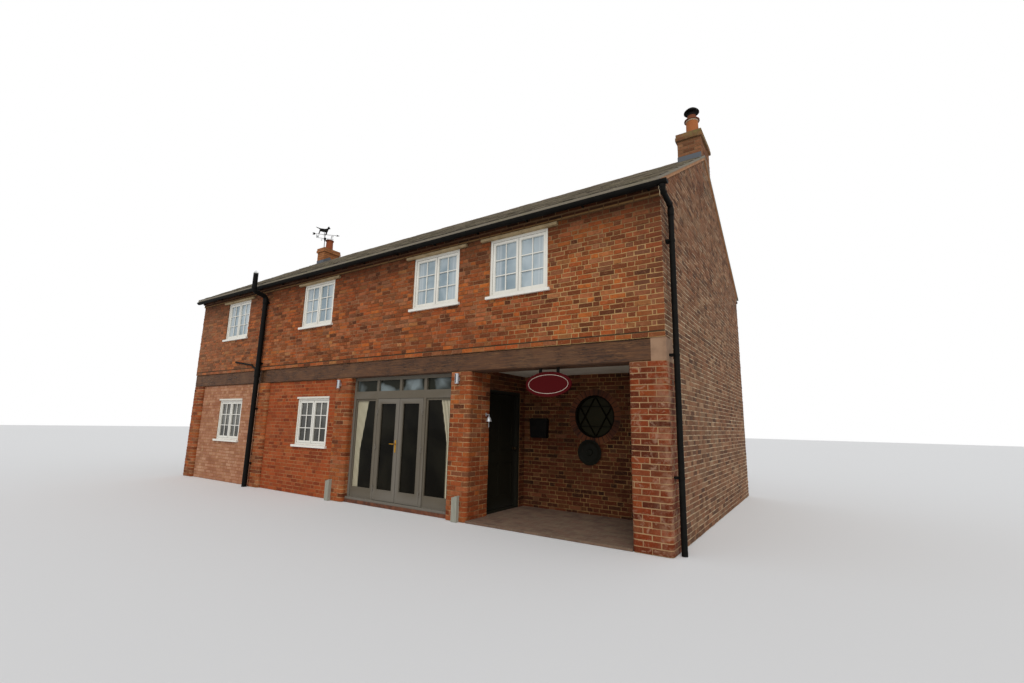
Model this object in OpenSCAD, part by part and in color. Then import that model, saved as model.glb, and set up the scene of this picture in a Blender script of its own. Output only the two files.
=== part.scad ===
// Converted brick coach house: two storeys, four front bays between brick piers,
// a long timber beam over them, a recessed porch, and a slated gable roof.
// Origin: centre of the footprint at ground level. X runs along the front,
// Y runs into the building, Z is up. Millimetres.

/* [Body] */
// Length of the building along its front
body_l = 12980; // [11000:10:15000]
// Depth of the building from front to back
body_d = 6620; // [6000:10:8000]
// Thickness of the outer brick walls
wall_t = 330; // [220:5:450]
// Height of the beam's underside over the ground
soffit_z = 2380; // [2200:10:2600]
// Height of the front beam
beam_h = 310; // [200:5:400]
// Depth of the front beam, front to back
beam_d = 330; // [200:5:450]
// Setback of the beam's face from the brickwork
beam_setback = 12; // [0:1:40]
// Length of the bed of mortar and stone past the beam's right end
pad_l = 200; // [100:10:300]
// Distance of the right beam's left end from the second pier's left side
beam_joint_in = 290; // [250:5:400]
// Length of the lap where the left beam's end is cut back
beam_lap = 220; // [100:10:240]
// How far the lap is cut back from the beam's face
lap_in = 45; // [10:5:100]

/* [Roof] */
// Pitch of the roof
roof_pitch = 31.8; // [25:0.1:40]
// Height of the slates' top face over the front wall's face
eaves_top_z = 4935; // [4700:5:5200]
// Overhang of the slates past the front and back walls
eaves_out = 200; // [100:5:400]
// Thickness of the roof over the walls' heads
roof_t = 72; // [50:1:150]
// Thickness of the slates where they pass the wall
slate_t = 34; // [15:1:60]
// Overhang of the slates past the gable walls
verge_out = 30; // [0:5:150]
// How far the course under the verge stands out from the gable
verge_course_out = 22; // [10:1:30]
// Height of the brick band under the eaves
band_h = 218; // [150:1:300]
// How far the brick band stands out
band_out = 60; // [20:5:120]

/* [Piers] */
// Depth of the brick piers, front to back
pier_d = 560; // [400:5:700]
// Radius of the piers' rounded corners
pier_r = 55; // [20:1:80]
// Width of the left end pier
pier_1_w = 490; // [300:5:600]
// Left side of the second pier, along X
pier_2_x = -3185; // [-3400:10:-2900]
// Width of the second pier
pier_2_w = 450; // [300:5:600]
// Left side of the third pier, along X
pier_3_x = -200; // [-400:10:0]
// Width of the third pier
pier_3_w = 450; // [300:5:600]
// Left side of the fourth pier, along X
pier_4_x = 2880; // [2700:10:3000]
// Width of the fourth pier
pier_4_w = 430; // [300:5:600]
// Width of the right end pier
pier_5_w = 500; // [300:5:600]

/* [Windows] */
// Width of a casement window
win_w = 1100; // [900:10:1200]
// Height of a casement window
win_h = 980; // [800:10:1100]
// Height of the upper windows' frames over the ground
upper_win_z = 3590; // [3400:10:3700]
// Centres of the upper front windows, along X
upper_win_x = [-4540, -1085, 2420, 4195];
// Centres of the lower front windows, along X
lower_win_x = [-4500, -1010];
// Height of the lower windows' frames over the ground
lower_win_z = 1010; // [800:10:1200]
// Centres of the back windows, along X
rear_win_x = [-4540, -1085, 2420];
// Width of a window's frame members
frame_w = 60; // [40:1:90]
// Depth of a window's frame
frame_d = 90; // [60:1:120]
// Setback of the window frames from the wall's face
frame_in = 15; // [0:1:60]
// Width of a casement's own rails and stiles
sash_w = 48; // [30:1:60]
// Thickness of the glass
glass_t = 6; // [4:1:10]
// How far the sills stand out from the wall
sill_out = 50; // [20:5:100]
// Thickness of the sills
sill_t = 45; // [30:1:80]
// Length of the strips over the upper windows
lintel_l = 1460; // [1200:10:1600]
// Thickness of the strips over the upper windows
lintel_t = 45; // [30:1:80]
// How far the strips stand out from the wall
lintel_out = 50; // [20:5:100]
// How far the strips reach into the wall
lintel_in = 100; // [60:5:200]
// Height of the flat boards over the lower windows
head_board_h = 40; // [20:1:60]

/* [Infill] */
// Setback of the brick infill from the front
infill_in = 60; // [20:5:150]
// Thickness of the brick infill
infill_t = 220; // [100:5:330]

/* [Glazed screen] */
// Setback of the glazed screen from the front
screen_in = 130; // [100:5:250]
// Depth of the screen's frame members
screen_d = 90; // [60:5:150]
// Width of the screen's outer members
screen_post = 62; // [40:1:90]
// Height of the underside of the transom
transom_z = 1965; // [1800:5:2100]
// Height of the transom
transom_h = 145; // [100:5:200]
// Height of the brick step under the screen
step_h = 60; // [40:5:120]
// Thickness of the screen's own sill
screen_sill_t = 40; // [25:1:60]
// Thickness of the glazed doors
leaf_t = 54; // [40:1:70]
// Width of the glazed doors' stiles
stile_w = 92; // [60:1:120]
// Height of the solid part at the foot of the glazed doors
kick_h = 190; // [120:5:300]
// Gap around the glazed doors
leaf_gap = 6; // [5:1:10]
// Gap between the two glazed doors
meeting_gap = 10; // [9:1:14]

/* [Porch] */
// Distance of the porch's back wall from the front
porch_in = 1810; // [1500:10:2200]
// X of the porch's left side wall
porch_x = 3250; // [3200:5:3300]
// Thickness of the walls round the porch
porch_wall_t = 220; // [100:5:330]
// Height of the porch ceiling
ceiling_z = 2455; // [2440:5:2550]
// Thickness of the porch ceiling
ceiling_t = 30; // [20:1:60]
// Thickness of the porch floor
porch_floor_t = 30; // [20:1:60]
// Distance of the entrance door's frame from the front
door_in = 572; // [565:1:650]
// Width of the entrance door's frame, outside
door_frame_w = 1060; // [950:10:1150]
// Height of the entrance door's frame, outside
door_frame_h = 2130; // [2000:10:2300]
// Width of the entrance door's frame members
door_post = 62; // [50:1:100]
// Depth of the entrance door's frame
door_frame_d = 110; // [80:5:150]
// Thickness of the entrance door
door_t = 48; // [40:1:60]
// Gap around the entrance door
door_gap = 7; // [6:1:10]

/* [Round window] */
// Centre of the round window, along X
round_x = 4705; // [4500:5:4900]
// Height of the round window's centre
round_z = 1700; // [1500:5:1900]
// Radius of the round window
round_r = 375; // [250:5:500]
// Width of the ring of bricks round it
ring_w = 115; // [80:5:150]
// Number of bricks in the ring
ring_bricks = 32; // [16:1:48]

/* [Chimneys] */
// Distance of both stacks' front faces in front of the ridge
stack_fore = 210; // [100:5:300]
// Width of the right stack along X
right_stack_w = 450; // [300:5:600]
// Depth of the right stack
right_stack_d = 820; // [500:10:1000]
// Height of the right stack's top over the ridge
right_stack_rise = 488; // [300:1:800]
// Depth of the right stack's root under the ridge
stack_root = 1100; // [800:10:1500]
// Distance of the left stack from the left end
left_stack_in = 355; // [340:5:700]
// Width of the left stack along X
left_stack_w = 370; // [300:5:600]
// Depth of the left stack
left_stack_d = 590; // [400:10:900]
// Height of the left stack's top over the ridge
left_stack_rise = 423; // [300:1:800]
// How far the top courses stand out
cap_out = 35; // [15:5:80]
// Height of the top courses
cap_h = 150; // [75:5:225]
// Outer radius of a chimney pot
pot_r = 125; // [80:1:180]
// Height of the left chimney pot
left_pot_h = 375; // [200:5:600]
// Height of the right chimney pot
right_pot_h = 495; // [200:5:700]
// Radius of the flange on the right pot
flange_r = 155; // [135:1:200]
// Outer radius of the collar over that flange
collar_r = 88; // [60:1:95]
// Height of the collar over the flange
collar_h = 110; // [60:5:200]
// Radius of the cowl's raised lid
cowl_r = 155; // [120:1:220]
// Height of the lead that turns up round the stacks
upstand_h = 120; // [80:5:200]
// Width of the lead skirt on the slates round the stacks
skirt = 110; // [60:5:130]

/* [Weather vane] */
// Height of the vane's arrow over the left stack
vane_h = 530; // [450:10:1000]
// Length of the vane's arrow
arrow_l = 780; // [500:10:1000]
// Length of the arms that hold the letters
arm_l = 280; // [200:10:400]
// Height of those arms' lower side over the left pot's rim
arm_gap = 14; // [10:1:20]
// Height of the dog from its feet to its ears
dog_h = 306; // [150:1:350]

/* [Fixtures] */
// Width of the hanging sign
sign_w = 765; // [500:5:900]
// Height of the hanging sign
sign_h = 374; // [250:5:450]
// Distance of the hanging sign's centre from the right end
sign_in = 1770; // [1600:5:2000]
// Height of the hanging sign's centre
sign_z = 2130; // [2000:5:2200]
// Distance of the soil pipe from the second pier's left side
soil_in = 45; // [0:5:100]
// Outer radius of the soil pipe
soil_r = 55; // [40:1:60]
// Distance of the soil pipe's upper length from the front
soil_out = 390; // [370:5:500]
// Height of the soil pipe's top over the eaves
soil_rise = 95; // [50:5:400]
// Heights of the soil pipe's clips
soil_clip_z = [500, 1750, 2830, 4340]; // [100:10:4400]
// Length of the waste pipe on the wall, left of the soil pipe
waste_l = 1160; // [500:10:1400]
// Outer radius of the waste pipe
waste_r = 20; // [15:1:25]
// Outer radius of the rain water pipe
rain_r = 38; // [30:1:50]
// Distance of the rain water pipe from the front
rain_in = 190; // [150:5:400]
// Gap between the rain water pipe and the gable
rain_gap = 45; // [20:1:60]
// Heights of the rain water pipe's clips
rain_clip_z = [900, 2450, 4020]; // [100:10:4400]
// How far the front gutter runs on past the right gable
gutter_over = 150; // [140:5:250]
// Height of the slim boards that guard the piers
guard_h = 400; // [200:10:600]
// Distance of each guard from its pier's left side
guard_in = [25, 190]; // [0:5:280]
// Distance of each lamp from its pier's left side
lamp_in = [157, 191]; // [40:1:390]
// Height of the lamps' lower ends
lamp_z = 2178; // [1900:1:2200]
// Height of the handles on the doors
handle_z = 1090; // [950:5:1200]
// Height of the bell's mouth
bell_z = 1570; // [1400:5:1800]
// Distance of the bell from the front
bell_in = 470; // [300:5:500]
// Centre of the dish, along X
dish_x = 4620; // [4500:5:4900]
// Height of the dish's centre
dish_z = 1075; // [900:5:1150]
// Centre of the letterbox, along X
letterbox_x = 3608; // [3500:1:3700]
// Height of the letterbox's foot
letterbox_z = 1296; // [1000:1:1500]

/* [Hidden] */

$fn = 48;
seat = 0.3;
fit = 0.01;
front_y = -body_d / 2;
back_y = body_d / 2;
end_x = body_l / 2;
beam_top_z = soffit_z + beam_h;
slope = tan(roof_pitch);
roof_drop = roof_t / cos(roof_pitch);
slate_drop = slate_t / cos(roof_pitch);
ridge_z = eaves_top_z + slope * body_d / 2;
right_stack_z = ridge_z + right_stack_rise;
left_stack_z = ridge_z + left_stack_rise;
left_stack_x = left_stack_in - end_x;
right_stack_x = end_x - right_stack_w;
stack_y = -stack_fore;
sign_x = end_x - sign_in;
beam_joint_x = pier_2_x + beam_joint_in;
beam_end_x = end_x - pad_l;
// Underside of the roof over the walls' faces
plate_z = eaves_top_z - roof_drop;
win_top_z = upper_win_z + win_h;
pier_5_x = end_x - pier_5_w;
leaf_z = step_h + screen_sill_t + leaf_gap;
bay3_x = pier_3_x + pier_3_w;
bay3_w = pier_4_x - bay3_x;
// Clear width for four leaves between the screen's outer posts
screen_clear = bay3_w - 2 * screen_post - 2 * seat;
leaf_w = (screen_clear - 2 * screen_post) / 4;
left_leaf_x = bay3_x + seat + screen_post + leaf_w + screen_post;
centre_x = left_leaf_x + leaf_w;
door_leaf_w = leaf_w - leaf_gap - meeting_gap / 2;
right_leaf_x = centre_x + meeting_gap / 2;
band_z = plate_z - band_h;
door_y = front_y + door_in;
leaf_y = front_y + screen_in;
light_w = 35;
// The hinge axes stand in the gap at each door's edge, just proud of its face
knuckle_r = 9;
knuckle_h = 50;
plate_w = 24;
hinge_proud = 9.4;
hinge_y = leaf_y - hinge_proud;
left_hinge_x = left_leaf_x + leaf_gap / 2;
right_hinge_x = centre_x + leaf_w - leaf_gap / 2;
// The entrance door's hinge axis, at its inner face and front edge
door_face_x = porch_x - door_frame_d - 4;
entrance_hinge_x = door_face_x - hinge_proud;
entrance_hinge_y = door_y + door_post + door_gap / 2;
gutter_r = 58;
gutter_y = front_y - eaves_out + 15;
gutter_z = eaves_top_z - eaves_out * slope - slate_drop - 22;
// The rain water pipe hangs under the gutter's end, clear of the gable
rain_x = end_x + rain_gap + rain_r;
rain_y = front_y + rain_in;
outlet_h = 30;
rain_bend = 60;
rain_angle = 80;
// The soil pipe stands before the second pier and swings out round the gutter
soil_x = pier_2_x + soil_in;
soil_y = front_y - soil_r - 25;
soil_bend = 90;
soil_angle = 75;
soil_neck_z = gutter_z - 95;
collar_l = 24;
coupling_h = 165;
arm_z = left_pot_h + arm_gap + 4;
hub_drop = 60;
vane_x = left_stack_x + left_stack_w / 2;
vane_y = stack_y + 90;
vane_z = left_stack_z + vane_h;
pin_r = 5.5;
// The vane hangs on the pin's tip, this far over the arrow
pin_over = 31;
collar_bore = collar_r - 14;

BRICK = [0.62, 0.32, 0.20];
OLD_BRICK = [0.50, 0.30, 0.20];
NEW_BRICK = [0.60, 0.24, 0.14];
TIMBER = [0.26, 0.18, 0.13];
WHITE = [0.90, 0.90, 0.87];
GREY = [0.36, 0.36, 0.32];
SLATE = [0.33, 0.34, 0.30];
BLACK = [0.06, 0.06, 0.07];
GLASS = [0.25, 0.30, 0.33, 0.5];
LEAD = [0.45, 0.47, 0.50];
CLAY = [0.62, 0.33, 0.18];

function depth_y(from_front) = front_y + from_front;

// How far a swan neck moves over, its straight run for that, and how far it drops
function neck_run(bend, angle, over) = (over - 2 * bend * (1 - cos(angle))) / sin(angle);
function neck_drop(bend, angle, run) = 2 * bend * sin(angle) + run * cos(angle);

// A box from its low corner and its size
module block(x, y, z, w, d, h) {
    translate([x, y, z]) cube([w, d, h]);
}

// A rectangular frame standing in the XZ plane, with its low corner at x, y, z
module frame_box(x, y, z, w, d, h, member) {
    difference() {
        block(x, y, z, w, d, h);
        block(x + member, y - 1, z + member, w - 2 * member, d + 2, h - 2 * member);
    }
}

// Openings for a row of windows, cut through a wall
module window_cuts(centres, z, y, d) {
    for (c = centres) block(c - win_w / 2, y, z, win_w, d, win_h);
}

// Two casements side by side in one frame
module casement_frame(centre, y, z) {
    clear_w = win_w - 2 * seat;
    x = centre - clear_w / 2;
    h = win_h - 2 * seat;
    half = (clear_w - 2 * frame_w) / 2;
    frame_box(x, y, z + seat, clear_w, frame_d, h, frame_w - 20);
    for (s = [0, 1])
        frame_box(x + frame_w - 20 + s * (half + 20 - fit), y + 12, z + seat + frame_w - 20,
            half + 20 + fit, frame_d - 30, h - 2 * (frame_w - 20), sash_w);
}

// The sheet of glass behind both casements' bars
module casement_glass(centre, y, z) {
    half = (win_w - 2 * seat - 2 * frame_w) / 2;
    x = centre - win_w / 2 + seat + frame_w - 20 + sash_w;
    w = half + 20 - 2 * sash_w;
    for (s = [0, 1])
        block(x + s * (half + 20), y + 12 + (frame_d - 30 - glass_t) / 2, z + frame_w - 20 + sash_w + seat,
            w, glass_t, win_h - 2 * seat - 2 * (frame_w - 20 + sash_w));
}

// Outline of a gable wall in the YZ plane, up to the roof's underside
module gable_outline(low_z) {
    polygon([[front_y, low_z], [back_y, low_z], [back_y, plate_z],
        [0, plate_z + slope * body_d / 2], [front_y, plate_z]]);
}

module along_x(x, length) {
    translate([x, 0, 0]) rotate([90, 0, 90]) linear_extrude(length) children();
}

// Cross-section of the front or back wall's head, with the brick band
module wall_head() {
    polygon([[0, beam_top_z + seat], [wall_t, beam_top_z + seat], [wall_t, plate_z + wall_t * slope],
        [0, plate_z], [-band_out, plate_z - band_out * slope],
        [-band_out, band_z + 75], [-band_out / 2, band_z + 75], [-band_out / 2, band_z], [0, band_z]]);
}

module front_wall() {
    color(BRICK) difference() {
        along_x(-end_x, body_l) translate([front_y, 0]) wall_head();
        window_cuts(upper_win_x, upper_win_z, front_y - band_out - 1, wall_t + band_out + 2);
        for (c = upper_win_x)
            block(c - lintel_l / 2, front_y - band_out - 1, win_top_z - fit,
                lintel_l, band_out + 1 + lintel_in, lintel_t + fit);
    }
}

module rear_wall() {
    color(OLD_BRICK) difference() {
        union() {
            along_x(-end_x, body_l) mirror([1, 0]) translate([-back_y, 0]) wall_head();
            block(-end_x, back_y - wall_t, 0, body_l, wall_t, beam_top_z + seat + fit);
        }
        window_cuts(rear_win_x, upper_win_z, back_y - wall_t - 1, wall_t + 200);
        window_cuts(rear_win_x, lower_win_z, back_y - wall_t - 1, wall_t + 200);
    }
}

module gable_wall(x) {
    along_x(x, wall_t) intersection() {
        gable_outline(0);
        translate([front_y + wall_t, 0]) square([body_d - 2 * wall_t, ridge_z]);
    }
}

// Room for the end pier and for the beam over it
module end_bearing(x) {
    block(x - 1, front_y, 0, wall_t + 2, pier_d, soffit_z);
    block(x - 1, front_y, 0, wall_t + 2, beam_d, beam_top_z);
}

module left_gable_wall() {
    color(OLD_BRICK) difference() {
        gable_wall(-end_x);
        end_bearing(-end_x);
    }
}

module right_gable_wall() {
    color(OLD_BRICK) difference() {
        gable_wall(end_x - wall_t);
        end_bearing(end_x - wall_t);
        block(right_stack_x, stack_y, ridge_z - stack_root, right_stack_w + 1, right_stack_d,
            stack_root + 1);
    }
}

// A pier with its two front corners rounded
module pier(x, w, h) {
    translate([x, front_y, 0]) linear_extrude(h) union() {
        translate([pier_r, pier_r]) circle(pier_r);
        translate([w - pier_r, pier_r]) circle(pier_r);
        translate([pier_r, 0]) square([w - 2 * pier_r, pier_r + fit]);
        translate([0, pier_r]) square([w, pier_d - pier_r]);
    }
}

module brick_piers() {
    color(BRICK) {
        pier(-end_x, pier_1_w, soffit_z - seat);
        pier(pier_2_x, pier_2_w, soffit_z - seat);
        pier(pier_3_x, pier_3_w, soffit_z - seat);
        pier(pier_4_x, pier_4_w, soffit_z - seat);
        pier(pier_5_x, pier_5_w, soffit_z - seat);
    }
}

module beam(x, length) {
    block(x, depth_y(beam_setback), soffit_z, length, beam_d - beam_setback, beam_h);
}

// The left beam's end is cut back where it laps behind the right one's end
module beam_left() {
    color(TIMBER) difference() {
        beam(-end_x, beam_joint_x + end_x - 1);
        block(beam_joint_x - beam_lap, front_y - 1, soffit_z - 1, beam_lap, beam_setback + lap_in + 1,
            beam_h + 2);
    }
}

module beam_right() {
    color(TIMBER) beam(beam_joint_x, beam_end_x - beam_joint_x);
}

module beam_pad() {
    color([0.66, 0.60, 0.50])
        beam(beam_end_x + seat, end_x - beam_end_x - seat);
}

module infill_walls() {
    color(NEW_BRICK) difference() {
        union() {
            block(-end_x + pier_1_w + seat, depth_y(infill_in), 0,
                pier_2_x + end_x - pier_1_w - 2 * seat, infill_t, soffit_z - seat);
            block(pier_2_x + pier_2_w + seat, depth_y(infill_in), 0,
                pier_3_x - pier_2_x - pier_2_w - 2 * seat, infill_t, soffit_z - seat);
        }
        window_cuts(lower_win_x, lower_win_z, front_y, infill_in + infill_t + 100);
    }
}

module upper_window_frames() {
    color(WHITE) for (c = upper_win_x) casement_frame(c, depth_y(frame_in), upper_win_z);
}

module lower_window_frames() {
    color(WHITE) for (c = lower_win_x) casement_frame(c, depth_y(infill_in + frame_in), lower_win_z);
}

module rear_window_frames() {
    color(WHITE) for (c = rear_win_x, z = [lower_win_z, upper_win_z])
        casement_frame(c, back_y - frame_in - frame_d, z);
}

module window_glass() {
    color(GLASS) {
        for (c = upper_win_x) casement_glass(c, depth_y(frame_in), upper_win_z);
        for (c = lower_win_x) casement_glass(c, depth_y(infill_in + frame_in), lower_win_z);
        for (c = rear_win_x, z = [lower_win_z, upper_win_z])
            casement_glass(c, back_y - frame_in - frame_d, z);
    }
}

// A sill in front of a wall's face at y, standing out by out
module sill(centre, y, z, out) {
    block(centre - win_w / 2 - 50, y - out, z - sill_t, win_w + 100, out - seat, sill_t);
}

module window_sills() {
    color(WHITE) {
        for (c = upper_win_x) sill(c, front_y, upper_win_z, sill_out);
        for (c = lower_win_x) sill(c, depth_y(infill_in), lower_win_z, sill_out);
        for (c = rear_win_x, z = [lower_win_z, upper_win_z])
            mirror([0, 1, 0]) sill(c, -back_y, z, sill_out);
    }
}

// Strips let into the brickwork over the upper windows, flat boards over the lower ones
module window_lintels() {
    board_out = 22;
    color(WHITE) {
        for (c = upper_win_x)
            block(c - lintel_l / 2 + seat, front_y - lintel_out, win_top_z + seat,
                lintel_l - 2 * seat, lintel_out + lintel_in - seat, lintel_t - 2 * seat);
        for (c = lower_win_x)
            block(c - win_w / 2 - 15, depth_y(infill_in) - board_out, lower_win_z + win_h,
                win_w + 30, board_out - seat, head_board_h);
    }
}

// A member of the screen's frame, and a thinner one of its fixed lights
module member(x, z, w, h) {
    block(x, leaf_y, z, w, screen_d, h);
}

module light_bar(x, z, w, h) {
    block(x, leaf_y + 20, z, w, leaf_t - 10, h);
}

module screen_frame() {
    x0 = bay3_x + seat;
    w = bay3_w - 2 * seat;
    base_z = step_h + screen_sill_t;
    head_z = soffit_z - seat;
    color(GREY) union() {
        for (x = [x0, x0 + screen_post + leaf_w, x0 + w - 2 * screen_post - leaf_w, x0 + w - screen_post])
            member(x, base_z, screen_post, head_z - base_z);
        member(x0, head_z - screen_post, w, screen_post);
        member(x0, transom_z, w, transom_h);
        member(centre_x - screen_post / 2, transom_z, screen_post, head_z - transom_z);
        for (x = [x0 + screen_post, x0 + w - screen_post - leaf_w]) {
            light_bar(x - fit, base_z, leaf_w + 2 * fit, kick_h);
            light_bar(x - fit, transom_z - 40, leaf_w + 2 * fit, 40 + fit);
            light_bar(x - fit, base_z, light_w, transom_z - base_z);
            light_bar(x + leaf_w - light_w + fit, base_z, light_w, transom_z - base_z);
        }
        at_left_hinge() frame_knuckles(hinge_levels(leaf_z, transom_z));
        at_right_hinge() frame_knuckles(hinge_levels(leaf_z, transom_z));
    }
}

module screen_glass() {
    x0 = bay3_x + seat;
    w = bay3_w - 2 * seat;
    base_z = step_h + screen_sill_t;
    y = leaf_y + screen_d / 2 - glass_t / 2;
    top_z = transom_z + transom_h;
    top_h = soffit_z - seat - screen_post - top_z;
    lights = [x0 + screen_post, x0 + 2 * screen_post + leaf_w,
        centre_x + screen_post / 2, x0 + w - screen_post - leaf_w];
    widths = [leaf_w, leaf_w - screen_post / 2, leaf_w - screen_post / 2, leaf_w];
    color(GLASS) {
        for (i = [0:3]) block(lights[i], y, top_z, widths[i], glass_t, top_h);
        for (x = [x0 + screen_post, x0 + w - screen_post - leaf_w])
            block(x + light_w, y, base_z + kick_h, leaf_w - 2 * light_w, glass_t,
                transom_z - 40 - base_z - kick_h);
    }
}

module screen_sill() {
    color(GREY) block(bay3_x + seat, leaf_y - 45, step_h + seat, bay3_w - 2 * seat,
        screen_d + 60, screen_sill_t - 2 * seat);
}

// A glazed door leaf, low left corner at x, standing flush with the screen's face
module glazed_leaf(x) {
    w = door_leaf_w;
    h = transom_z - leaf_gap - leaf_z;
    difference() {
        block(x, leaf_y, leaf_z, w, leaf_t, h);
        block(x + stile_w, leaf_y - 1, leaf_z + kick_h, w - 2 * stile_w, leaf_t + 2,
            h - kick_h - stile_w);
    }
}

// Heights of a door's three hinges between z0 and z1
function hinge_levels(z0, z1) = [z0 + 180, (z0 + z1) / 2, z1 - 280];

// A knuckle on the hinge axis with its plate, which reaches along X from x0
module knuckle(z, h, x0) {
    translate([0, 0, z]) cylinder(r = knuckle_r, h = h, $fn = 24);
    block(x0, 3, z, plate_w, hinge_proud - 2, h);
}

// The leaf's share of each hinge, on an axis at the origin, with the door along +X
module leaf_knuckles(levels) {
    for (z = levels) knuckle(z, knuckle_h, leaf_gap / 2 + fit);
}

// The frame's share: a knuckle over and one under the leaf's own
module frame_knuckles(levels) {
    for (z = levels, dz = [-knuckle_h / 2 - seat, knuckle_h + seat])
        knuckle(z + dz, knuckle_h / 2, -plate_w - leaf_gap / 2 - fit);
}

// Moves a hinge from the origin to each door's axis, plates towards the door's face
module at_left_hinge() {
    translate([left_hinge_x, hinge_y, 0]) children();
}

module at_right_hinge() {
    translate([right_hinge_x, hinge_y, 0]) mirror([1, 0, 0]) children();
}

module at_entrance_hinge() {
    translate([entrance_hinge_x, entrance_hinge_y, 0]) rotate(90) mirror([0, 1, 0]) children();
}

module leaf_sheet(x) {
    w = door_leaf_w;
    h = transom_z - leaf_gap - leaf_z;
    block(x + stile_w, leaf_y + leaf_t / 2 - glass_t / 2, leaf_z + kick_h,
        w - 2 * stile_w, glass_t, h - kick_h - stile_w);
}

module screen_door_left() {
    color(GREY) union() {
        glazed_leaf(left_leaf_x + leaf_gap);
        at_left_hinge() leaf_knuckles(hinge_levels(leaf_z, transom_z));
    }
}

module screen_door_right() {
    color(GREY) union() {
        glazed_leaf(right_leaf_x);
        at_right_hinge() leaf_knuckles(hinge_levels(leaf_z, transom_z));
    }
}

module door_glass_left() {
    color(GLASS) leaf_sheet(left_leaf_x + leaf_gap);
}

module door_glass_right() {
    color(GLASS) leaf_sheet(right_leaf_x);
}

module screen_door_handle() {
    x = centre_x - meeting_gap / 2 - stile_w / 2;
    color([0.75, 0.60, 0.30]) union() {
        block(x - 17, leaf_y - 6, handle_z - 110, 34, 6, 220);
        translate([x, leaf_y - 48, handle_z + 40]) rotate([-90, 0, 0]) cylinder(r = 9, h = 46);
        translate([x - 110, leaf_y - 48, handle_z + 40]) rotate([0, 90, 0]) cylinder(r = 9, h = 119);
    }
}

module porch_back_wall() {
    color(OLD_BRICK) difference() {
        block(porch_x, depth_y(porch_in), 0, end_x - wall_t - porch_x - seat, porch_wall_t,
            beam_top_z - seat);
        at_round_window(-1) cylinder(r = round_r + ring_w + seat, h = porch_wall_t + 2, $fn = 96);
    }
}

module porch_side_wall() {
    side_end = depth_y(porch_in) - seat;
    frame_end = door_y + door_frame_w + seat;
    color(OLD_BRICK) {
        block(porch_x - porch_wall_t, frame_end, 0, porch_wall_t, side_end - frame_end, door_frame_h);
        along_x(porch_x - porch_wall_t, porch_wall_t) polygon([
            [depth_y(pier_d) + seat, door_frame_h + seat], [side_end, door_frame_h + seat],
            [side_end, beam_top_z - seat], [depth_y(beam_d) + seat, beam_top_z - seat],
            [depth_y(beam_d) + seat, soffit_z], [depth_y(pier_d) + seat, soffit_z]]);
    }
}

module porch_ceiling() {
    x0 = porch_x + seat;
    color([0.86, 0.84, 0.78])
        block(x0, depth_y(beam_d) + seat, ceiling_z, end_x - wall_t - x0 - seat,
            porch_in - beam_d - 2 * seat, ceiling_t);
}

module porch_floor() {
    x0 = pier_4_x + pier_4_w + seat;
    color([0.52, 0.40, 0.33]) union() {
        block(x0, front_y, 0, pier_5_x - x0 - seat, pier_d + seat, porch_floor_t);
        block(porch_x + seat, depth_y(pier_d) + 2 * seat - fit, 0,
            end_x - wall_t - porch_x - 2 * seat, porch_in - pier_d - 3 * seat, porch_floor_t);
    }
}

// Three members and a threshold, with the inner floor's height under the door
module entrance_frame() {
    x = door_face_x;
    color([0.10, 0.08, 0.07]) union() {
        difference() {
            block(x, door_y, 0, door_frame_d, door_frame_w, door_frame_h);
            block(x - 1, door_y + door_post, step_h, door_frame_d + 2,
                door_frame_w - 2 * door_post, door_frame_h - step_h - door_post);
        }
        at_entrance_hinge() frame_knuckles(hinge_levels(step_h, door_frame_h));
    }
}

// The panelled entrance door, closed, hinged on its front edge
module entrance_door() {
    x = door_face_x;
    w = door_frame_w - 2 * door_post - 2 * door_gap;
    h = door_frame_h - step_h - door_post - 2 * door_gap;
    y = door_y + door_post + door_gap;
    z = step_h + door_gap;
    rail_w = 105;
    lower_panel_h = 560;
    upper_panel_z = 980;
    panel_w = (w - 3 * rail_w) / 2;
    color([0.11, 0.09, 0.08]) union() {
        difference() {
            block(x, y, z, door_t, w, h);
            for (s = [0, 1]) {
                panel_y = y + rail_w + s * (panel_w + rail_w);
                block(x + door_t - 14, panel_y, z + 220, 15, panel_w, lower_panel_h);
                block(x + door_t - 14, panel_y, z + upper_panel_z, 15, panel_w, h - upper_panel_z - rail_w);
            }
        }
        at_entrance_hinge() leaf_knuckles(hinge_levels(step_h, door_frame_h));
    }
}

module entrance_handle() {
    x = door_face_x + door_t;
    y = door_y + door_frame_w - door_post - door_gap - 55;
    color([0.70, 0.58, 0.32]) translate([x, y, handle_z]) union() {
        rotate([0, 90, 0]) cylinder(r = 26, h = 8);
        translate([7, 0, 0]) rotate([0, 90, 0]) cylinder(r = 10, h = 40);
        translate([52, 0, 0]) sphere(r = 25);
    }
}

// Places children on the round window's axis, this far behind the porch wall's face
module at_round_window(behind) {
    translate([round_x, depth_y(porch_in) + behind, round_z]) rotate([-90, 0, 0]) children();
}

// The full ring of header bricks that carries the wall round the window, raked out at its joints
module round_window_arch() {
    joint = 10;
    groove = 6;
    color(OLD_BRICK) at_round_window(0) difference() {
        cylinder(r = round_r + ring_w, h = porch_wall_t, $fn = 96);
        translate([0, 0, -1]) cylinder(r = round_r, h = porch_wall_t + 2, $fn = 96);
        for (i = [0:ring_bricks - 1], z = [-1, porch_wall_t - groove]) rotate(i * 360 / ring_bricks)
            translate([round_r - 1, -joint / 2, z]) cube([ring_w + 2, joint, groove + 1]);
    }
}

module star_bars(star_r, bar) {
    for (a = [90, 270]) rotate(a) difference() {
        circle(r = star_r, $fn = 3);
        circle(r = star_r - 2 * bar, $fn = 3);
    }
}

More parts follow.
